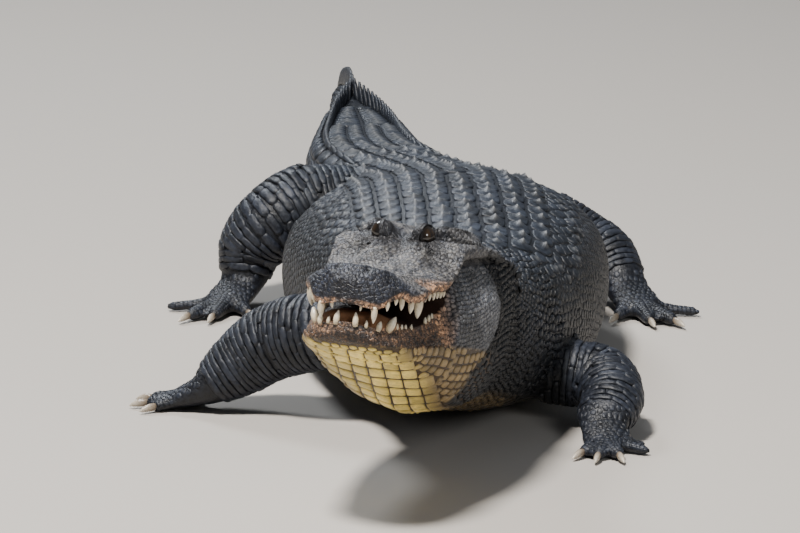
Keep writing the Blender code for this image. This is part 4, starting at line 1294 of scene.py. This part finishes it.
# whorls of the tail: plates between the crests, on the sides and below
whorls = []
mile = tail_start
length = WHORL
while mile < tail_end:
    whorls.append((mile, length))
    mile += length
    length *= WHORL_SHRINK
for mile, length in whorls:
    y = float(np.interp(mile, ring_miles, axis_line[:, 1]))
    space = through(CREST, y)[0][0]
    ahead = course(mile, 1)
    for side in (1, -1):
        ring, run = ring_at(side, mile)
        if space > 0.030:
            inner = space - 0.006
            for girth in ((0.25 * inner, 0.75 * inner) if inner > 0.05 else (0.5 * inner,)):
                sow("tail_top", on_ring(ring, run, girth), ahead, 0.25 * inner + 0.006,
                    root_at(mile, side * girth))
        begin = space + 0.012 if space > 0.004 else 0.006
        count = max(3, round((run[-1] - begin) / max(0.60 * length, 0.012)))
        wide = (run[-1] - begin) / count
        for k in range(count):
            girth = begin + (run[-1] - begin) * (k + 0.5) / count
            sow("tail_side", on_ring(ring, run, girth), ahead, 0.5 * (0.5 * length + 0.5 * wide),
                root_at(mile, side * girth), closeness=0.5)

# throat: square plates below, smaller to the sides; then jowl, face, neck, belly and flanks
slant_miles = [mile_of_u(u) for u, girth in SLANT]
slope = (SLANT[1][1] - SLANT[0][1]) / (slant_miles[1] - slant_miles[0])
throat_end = mile_of_u(0.41)


def throat_point(mile, girth):
    """A place under the throat, by mile and by girth to the left of the midline."""
    return on_ring(*ring_at(1 if girth > 0 else -1, mile, True), abs(girth))


for row, k in product(range(-2, 14), range(-6, 7)):
    along = slant_miles[0] + row * THROAT_ROW
    aside = (k + 0.5) * THROAT_PLATE
    mile = along - slope * aside
    girth = SLANT[0][1] + slope * (along - slant_miles[0]) + aside
    if not slant_miles[0] < mile < throat_end or abs(girth) > THROAT_HALF:
        continue
    ahead = throat_point(mile + 0.01, girth + 0.01 * slope) - throat_point(mile, girth)
    around = (1 if girth > 0 else -1) * (0.45 - abs(girth))
    sow("throat", throat_point(mile, girth), ahead, 0.25 * (THROAT_PLATE + THROAT_ROW),
        root_at(mile, around), closeness=0.55, shape=(0.5 * THROAT_ROW, 0.5 * THROAT_PLATE))
# bands: kind, first and last mile, pitch along, girth from and to, pitch across, whether girth
# is measured from below, and whether every other row is shifted
for band in (
    ("throat", mile_of_u(0.008), mile_of_u(0.100), 0.0110, 0.0, 0.200, 0.0125, True, True),
    ("throat", mile_of_u(0.030), mile_of_u(0.36), 0.0170, 0.058, 0.160, 0.0135, True, True),
    ("jowl", mile_of_u(0.150), mile_of_u(0.345), 0.0062, 0.100, 0.38, 0.0062, True, True),
    ("face", mile_of_u(0.008), mile_of_u(0.385), 0.0054, 0.0, 0.135, 0.0056, False, True),
    ("neck", mile_of_u(0.335), mile_of_y(-0.46), 0.0092, 0.0, 0.40, 0.0092, False, True),
    ("belly", mile_of_y(-0.42), tail_start, 0.0290, 0.0, 0.165, 0.0280, True, False),
    ("neck", mile_of_y(-0.46), shoulder, 0.0125, 0.0, 0.42, 0.0125, False, True),
    ("side", shoulder, tail_start, 0.0215, lambda m: columns_wide(m) + 0.002,
     lambda m: columns_wide(m) + 0.050, 0.0235, False, True),
    ("flank", shoulder, tail_start, 0.0125, columns_wide, 0.50, 0.0125, False, True),
):
    sow_band(*band)

# legs: ridges round each leg, pebbles on the palms, narrow bands on the toes
for number, (leg, stations) in enumerate(LEGS.items()):
    steps = np.linspace(0.0, len(stations) - 1, 200)
    centres, along, across, up, widths, heights = leg_line(stations, steps)
    run = run_of(centres)
    for row, distance in enumerate(np.arange(0.02, run[-1], LEG_PITCH)):
        i, j = np.searchsorted(run, (distance, min(distance + LEG_PITCH, run[-1] - 1e-6)))
        girth = math.pi * (widths[i] + heights[i])
        count = max(7, round(girth / LEG_ACROSS))
        for k in range(count):
            angle = 2 * math.pi * (k + 0.37 * row) / count
            point, beyond = (centres[n] + across[n] * math.cos(angle) * widths[n]
                             + up[n] * math.sin(angle) * heights[n] for n in (i, j))
            pitch = min(float(np.linalg.norm(beyond - point)), 1.7 * LEG_PITCH)
            if pitch < 0.50 * LEG_PITCH:
                continue
            root = ((number + 0.1 + 0.7 * distance / run[-1]) / 4, 0.02 + 0.30 * k / count)
            sow("leg", point, along[i], 0.5 * pitch, root,
                shape=(0.51 * pitch, 0.56 * girth / count))
    ahead, palm, toes = toe_lines(leg)
    sideways = np.array((ahead[1], -ahead[0], 0.0))
    for toe, (hub, out, aside, flesh, radius, clawed) in enumerate(toes):
        for distance in np.arange(0.35 * flesh, 0.98 * flesh, TOE_PITCH):
            centre = toe_centre(hub, out, flesh, radius, distance / flesh)
            for way in np.radians(TOE_ANGLES):
                point = centre + (aside * math.cos(way) + np.array((0, 0, math.sin(way)))) * radius
                root = ((number + 0.85) / 4 + 0.02 * toe / 4, 0.02 + 0.3 * distance / 0.13)
                sow("toe", point, out, 0.5 * TOE_PITCH, root, 0.006, 0.5,
                    (0.5 * TOE_PITCH, 0.32 * radius))
    base = np.array(stations[-1][:3]) * (1, 1, 0)
    for row, distance in enumerate(np.arange(-0.01, palm[0] + 0.035, PALM_PITCH * 0.87)):
        for offset in np.arange(-0.070, 0.071, PALM_PITCH):
            start = base + ahead * distance + sideways * (offset + 0.5 * PALM_PITCH * (row % 2))
            hit = on_skin.ray_cast(Vector((start[0], start[1], 0.062)), Vector((0, 0, -1)))
            if hit[0] is not None and hit[0].z > 0.004 and hit[1].z > 0:
                root = ((number + 0.1 + distance) / 4, 0.04 + 0.3 * (offset + 0.07) / 0.14)
                sow("palm", hit[0], ahead, 0.5 * PALM_PITCH, root)

random = np.random.default_rng(7)
pieces = {}
seed_tree = KDTree(len(seeds))
for number, seed in enumerate(seeds):
    seed_tree.insert(seed[1], number)
seed_tree.balance()
tones = random.uniform(0.72, 1.25, len(seeds))

for number, (kind, centre, normal, rear, radius, root, shape) in enumerate(seeds):
    piece, count, rise, keel, square, seam_width = KINDS[kind]
    rear = rear - normal * (rear @ normal)
    rear /= np.linalg.norm(rear) + 1e-9
    aside = np.cross(normal, rear)
    angle = np.linspace(0, 2 * math.pi, count, endpoint=False)
    ways = np.outer(np.cos(angle), rear) + np.outer(np.sin(angle), aside)
    limit = LIMITS.get(kind, LIMIT) * radius
    push = np.full(count, (1.0 / limit) ** square)
    if shape:
        push = ((np.abs(np.cos(angle)) / (shape[0] - 0.5 * seam_width)) ** square
                + (np.abs(np.sin(angle)) / (shape[1] - 0.3 * seam_width)) ** square)
        limit = max(shape)
    for place, other, gap in seed_tree.find_n(centre, 0 if shape else 18):
        if other == number or gap < 1e-5 or gap > 3.2 * radius + 0.02:
            continue
        toward = np.array(place) - centre
        toward -= normal * (toward @ normal)
        far = np.linalg.norm(toward)
        if far < 0.4 * gap:
            continue
        border = (gap * gap + radius ** 2 - seeds[other][4] ** 2) / (2 * gap) - 0.5 * seam_width
        border = max(border, 0.25 * radius)
        push += (np.maximum(ways @ (toward / far), 0.0) / border) ** square
    reach = push ** (-1.0 / square)
    edge = centre + ways * reach[:, None]
    drop = np.zeros(count)
    for k in range(count):
        found = on_skin.find_nearest(Vector(edge[k]), 0.02)
        if found[0] is not None:
            drop[k] = (centre - np.array(found[0])) @ normal
    drop = np.clip(drop, -0.35 * reach, 0.75 * reach)
    tall = rise * min(1.0, radius / 0.006) * random.uniform(0.85, 1.15)
    keel *= random.uniform(0.60, 1.30)
    store = pieces.setdefault(piece, {"from": 0, "points": [], "faces": [], "crown": [],
                                      "root": [], "tone": []})
    rings = TILE_RINGS["keeled" if kind == "dorsal" else "plain"]
    tile_points, crown, spread = [], [], []
    for share, high in rings + ((0.0, 1.05),):
        if share == 0.0:
            here, sink, flat = centre[None, :], 0.0, np.zeros((1, 2))
        else:
            here = centre + ways * (reach * share)[:, None]
            sink = drop * share * share
            flat = np.column_stack([np.cos(angle), np.sin(angle)]) * (reach * share)[:, None]
        lift = -BASE_DEPTH if high < 0 else high * tall
        if kind == "leg" and 0 < high < 1 and share > 0:
            lift = tall * (high + 0.75 * (1 - high) * np.abs(np.sin(angle)) ** 3)
        ridge = np.zeros(len(here))
        if keel and high > 0:
            back_share = flat[:, 0] / radius
            side_share = flat[:, 1] / radius
            ridge = (np.exp(-(np.abs(side_share) / KEEL_HALF) ** 1.2)
                     * smooth_step(*KEEL_RISE, back_share) * smooth_step(*KEEL_FALL, back_share))
        tile_points.append(here + normal * np.reshape(lift + keel * ridge - sink, (-1, 1)))
        # crown: low at a scale's foot, where the grain paints shade into the seam, and above 1 on
        # a keel's ridge, which takes the pale keel colour, partly wear and partly painted
        # highlight
        level = 0.0 if high < 0 else min(1.0, 0.25 + 0.75 * high) if share > 0.9 else 1.0
        if kind == "face":
            level = FACE_SEAM + (1 - FACE_SEAM) * level
        crown.append(level + 0.75 * ridge ** 2 * (keel > 0.002))
        spread.append(flat / limit)
    block = np.vstack(tile_points)
    start = store["from"]
    store["from"] += len(block)
    rows = start + np.arange(len(rings) * count).reshape(len(rings), count)
    store["faces"] += tube(rows)
    top = np.full(count, start + len(rings) * count)
    store["faces"] += np.column_stack([rows[-1], np.roll(rows[-1], -1), top]).tolist()
    store["faces"].append(rows[0][::-1].tolist())
    store["points"].append(block)
    store["crown"].append(np.concatenate(crown))
    store["root"].append(np.array(root) + PATCH * np.vstack(spread))
    store["tone"].append(np.full(len(block), tones[number]))


def unwrapped(name, points, polygons, roots):
    """A mesh with its unwrap, shaded smooth, in the hide's material."""
    obj = plain_mesh(name, points, polygons)
    corners = np.empty(len(obj.data.loops), dtype=int)
    obj.data.loops.foreach_get("vertex_index", corners)
    unwrap = obj.data.uv_layers.new(name="OFBake")
    unwrap.data.foreach_set("uv", roots[corners].ravel())
    obj.data.materials.append(hide)
    obj.data.shade_smooth()
    return obj


for name, store in pieces.items():
    points = np.vstack(store["points"])
    points[:, 2] = np.maximum(points[:, 2], 0.0002)
    obj = unwrapped(name, points, store["faces"], np.vstack(store["root"]))
    tint = hide_tint(points) * np.concatenate(store["tone"])[:, None]
    lay_values(obj.data, tint, np.concatenate(store["crown"]), speckle(points) * 0.4)
    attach(obj, "root")

# Tail crests
# Upright blades, one to a whorl: two rows over the front of the tail that meet in a single row.
BLADE_AROUND = 12
# share of a blade's full height, by half the space between the rows
CREST_RISE = ((0.002, 0.020, 0.060), (0.90, 0.72, 0.36))
BLADE_LEVELS = (-0.06, 0.12, 0.34, 0.58, 0.82, 1.00)
blade_points, blade_faces, blade_roots, blade_crown = [], [], [], []
for mile, length in whorls:
    y = float(np.interp(mile, ring_miles, axis_line[:, 1]))
    space, height, fill = through(CREST, y)[0]
    ahead = course(mile, 1) * (1, 1, 0)
    ahead /= np.linalg.norm(ahead)
    for side in ((1, -1) if space > 0.004 else (1,)):
        girth = space if space > 0.004 else 0.0
        found = on_skin.find_nearest(Vector(on_ring(*ring_at(side, mile), girth)))[0]
        aside = np.cross(ahead, (0, 0, 1))
        up = np.array((0, 0, 1)) - aside * side * (0.14 if girth else 0.0)
        rise = height * (1.0 - CREST_FILL * fill) * np.interp(space, *CREST_RISE) + 0.003
        angle = np.linspace(0, 2 * math.pi, BLADE_AROUND, endpoint=False)
        start = len(blade_points) * BLADE_AROUND
        for t in BLADE_LEVELS:
            high = max(t, 0.0)
            slim = 1.0 - 0.70 * high ** 1.5
            centre = np.array(found) + ahead * length * 0.36 * high ** 1.3 + up * rise * t
            blade_points.append(centre + np.outer(np.cos(angle), ahead) * 0.72 * length * slim
                                + np.outer(np.sin(angle), aside) * (0.0048 * slim + 0.0006))
            # the blade's crown rises up it: painted seam shade at its foot, a touch of the pale
            # keel colour at its top
            blade_crown.append(np.full(BLADE_AROUND, 0.30 + 0.85 * high))
            flat = np.column_stack([np.cos(angle), np.sin(angle)]) * slim
            blade_roots.append(root_at(mile, side * girth) + PATCH * flat)
        rows = start + np.arange(len(BLADE_LEVELS) * BLADE_AROUND).reshape(-1, BLADE_AROUND)
        blade_faces += [[a, d, c, b] for a, b, c, d in tube(rows)]
        blade_faces.append(rows[0].tolist())
        blade_faces.append(rows[-1][::-1].tolist())
crest = unwrapped("tail_crest", np.vstack(blade_points), blade_faces, np.vstack(blade_roots))
lay_values(crest.data, hide_tint(np.vstack(blade_points)), np.concatenate(blade_crown), 0.2)
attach(crest, "root")

# Eyes
# Glossy dark balls with a brown iris and an upright slit of pupil, under the lids.
EYE_DARK = np.array((0.012, 0.010, 0.009))
EYE_IRIS = np.array((0.022, 0.013, 0.006))
# swelling of the cornea and its angle from the middle; half-size of the slit, in radii of the ball
CORNEA_BULGE = 0.03
CORNEA_EDGE = 31.5
SLIT_HALF_WIDTH = 0.10
SLIT_HALF_HEIGHT = 0.62
eye_finish, tree, shader = new_finish("eye")
shader.inputs["Roughness"].default_value = 0.06
shader.inputs["Coat Weight"].default_value = 0.6
speck = texture(tree, 900.0).outputs["Color"]
iris = mix_colour(tree, 0.5, attribute(tree, "tint")["Color"], speck, "MULTIPLY")
tree.links.new(iris, shader.inputs["Base Color"])
for side, word in ((1, "left"), (-1, "right")):
    centre = from_head(EYE_PLACE * (side, 1, 1))
    look = HEAD_AXES @ (EYE_LOOK * (side, 1, 1) / np.linalg.norm(EYE_LOOK))
    across = np.cross((0, 0, 1), look)
    across /= np.linalg.norm(across)
    upright = np.cross(look, across)
    bpy.ops.mesh.primitive_uv_sphere_add(segments=64, ring_count=40, radius=EYE_RADIUS)
    ball = bpy.context.object
    ball.name = "eyeball_" + word
    points = read_points(ball.data)
    way = points / np.linalg.norm(points, axis=1)[:, None]
    off = np.degrees(np.arccos(np.clip(way[:, 2], -1, 1)))
    cornea = 1 + CORNEA_BULGE * np.exp(-(off / CORNEA_EDGE) ** 4)
    axes = np.array((across, upright, look))
    write_points(ball.data, centre + (points * cornea[:, None]) @ axes, 0.0)
    tall = np.sqrt(np.maximum(1 - (way[:, 1] / SLIT_HALF_HEIGHT) ** 2, 0.02))
    slit = np.exp(-(way[:, 0] / (SLIT_HALF_WIDTH * tall)) ** 4)
    slit *= np.abs(way[:, 1]) < SLIT_HALF_HEIGHT
    glow = 0.30 + 1.2 * smooth_step(44, 14, off)
    tint = mixed(EYE_DARK, EYE_IRIS * glow[:, None], smooth_step(48, 44, off) * (1 - slit))
    lay_values(ball.data, tint, 1.0, 0.0)
    ball.data.materials.append(eye_finish)
    ball.data.shade_smooth()
    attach(ball, "root")
    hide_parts("eye_" + word)

# Teeth and claws
# Blunt curved cones of ivory in the lips, and of paler horn at the end of each inner toe.
# teeth: distance behind the snout tip, radius, length, and lean outward
UPPER_TEETH = (
    (0.003, 0.0020, 0.006, 0.0), (0.010, 0.0050, 0.018, 0.10), (0.022, 0.0038, 0.012, 0.10),
    (0.034, 0.0032, 0.009, 0.1), (0.045, 0.0042, 0.014, 0.1), (0.064, 0.0048, 0.014, 0.1),
    (0.080, 0.0072, 0.023, 0.1), (0.104, 0.0030, 0.010, 0.1), (0.118, 0.0030, 0.010, 0.1),
    (0.134, 0.0032, 0.010, 0.1), (0.148, 0.0030, 0.009, 0.1), (0.160, 0.0030, 0.009, 0.1),
    (0.172, 0.0026, 0.008, 0.1),
)
LOWER_TEETH = (
    (0.0105, 0.0046, 0.015, 0.05), (0.017, 0.0030, 0.008, 0.1), (0.027, 0.0046, 0.011, 0.35),
    (0.040, 0.0066, 0.018, 0.60), (0.052, 0.0026, 0.006, 0.2), (0.060, 0.0026, 0.006, 0.2),
    (0.068, 0.0026, 0.006, 0.2), (0.082, 0.0026, 0.006, 0.2), (0.122, 0.0030, 0.008, 0.1),
    (0.134, 0.0030, 0.008, 0.1), (0.144, 0.0028, 0.007, 0.1),
)
UPPER_INSET = 0.004
LOWER_INSET = 0.0022
CLAW_LENGTH = 0.021
CLAW_RADIUS = 0.0056
STAIN = (0.62, 0.50, 0.34, 1.0)
SPIKE_AROUND = 14
# a spike's rings: share of its length, and share of its radius
SPIKE = ((-0.25, 0.86), (0.0, 0.98), (0.14, 1.0), (0.32, 0.96), (0.52, 0.84), (0.72, 0.62),
         (0.87, 0.38), (0.96, 0.18), (1.0, 0.05))


def spike(store, base, way, bend, length, radius, slim=1.0):
    """A curved cone: its axis leaves the base one way and bends toward another."""
    way = np.asarray(way) / np.linalg.norm(way)
    across = np.cross(way, bend)
    across = across / np.linalg.norm(across)
    front = np.cross(across, way)
    angle = np.linspace(0, 2 * math.pi, SPIKE_AROUND, endpoint=False)
    start = len(store[0]) * SPIKE_AROUND
    for share, thick in SPIKE:
        centre = base + way * length * share + np.asarray(bend) * length * share * abs(share)
        store[0].append(centre + np.outer(np.cos(angle), across) * radius * thick * slim
                        + np.outer(np.sin(angle), front) * radius * thick)
        store[2].append(np.full(SPIKE_AROUND, max(share, 0.0)))
    rows = start + np.arange(len(SPIKE) * SPIKE_AROUND).reshape(-1, SPIKE_AROUND)
    store[1].extend(tube(rows))
    store[1].append(rows[0][::-1].tolist())
    store[1].append(rows[-1].tolist())


def horny(name, base_colour, tip_colour, roughness):
    """A finish that runs from one colour at a spike's root to another at its point."""
    finish, tree, shader = new_finish(name)
    streak = texture(tree, 420.0).outputs["Fac"]
    colour = mix_colour(tree, attribute(tree, "along")["Fac"], (*base_colour, 1.0),
                        (*tip_colour, 1.0))
    stain = mix_colour(tree, 1.0, colour, STAIN, "MULTIPLY")
    spotted = math_node(tree, "SUBTRACT", streak, 0.45)
    spotted = math_node(tree, "MULTIPLY", spotted, 2.0, True)
    tree.links.new(mix_colour(tree, spotted, colour, stain), shader.inputs["Base Color"])
    rough = math_node(tree, "ADD", roughness, math_node(tree, "MULTIPLY", streak, 0.2))
    tree.links.new(rough, shader.inputs["Roughness"])
    add_relief(tree, shader, streak, 0.0003)
    return finish


ivory = horny("ivory", (0.60, 0.50, 0.34), (0.80, 0.75, 0.62), 0.16)
horn = horny("horn", (0.20, 0.16, 0.12), (0.55, 0.50, 0.42), 0.25)


def spikes_piece(name, store, finish):
    points = np.vstack(store[0])
    points[:, 2] = np.maximum(points[:, 2], 0.0004)
    obj = make_mesh(name, points, store[1])
    along = obj.data.attributes.new("along", "FLOAT", "POINT")
    along.data.foreach_set("value", np.concatenate(store[2]).astype(np.float32))
    obj.data.materials.append(finish)
    obj.data.shade_smooth()
    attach(obj, "root")
    return obj


for name, table, way in (("teeth_upper", UPPER_TEETH, -1), ("teeth_lower", LOWER_TEETH, 1)):
    store = ([], [], [])
    for u, radius, length, lean in table:
        if way < 0:
            lip_w, lip_z = through(UPPER_HEAD, u)[0][:2]
            inset = UPPER_INSET
        else:
            lip_w, lip_z = through(LOWER_JAW, u)[0][0], float(lower_lip(u)[0])
            inset = LOWER_INSET
        for side in (1, -1):
            back = 0.003 if way < 0 and u < 0.02 else 0.0
            spot = np.array((side * (lip_w - inset), u + back, lip_z))
            axis = HEAD_AXES @ np.array((side * lean, -0.08, way))
            bend = HEAD_AXES @ np.array((-side * 0.12, 0.16, 0.0))
            spike(store, from_head(spot), axis, bend, length, radius, 0.85)
    spikes_piece(name, store, ivory)

store = ([], [], [])
for leg in LEGS:
    ahead, palm, toes = toe_lines(leg)
    for hub, out, aside, flesh, radius, clawed in toes:
        if clawed:
            base = hub + out * (flesh + 0.0005) + (0, 0, radius * 0.78)
            spike(store, base, out, (0, 0, -0.20), CLAW_LENGTH, CLAW_RADIUS, 0.8)
claws = spikes_piece("claws", store, horn)
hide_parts(*[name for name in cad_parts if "claw" in name])

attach(skin, "root")
flesh = [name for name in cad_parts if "claw" not in name and "eye" not in name]
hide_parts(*flesh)
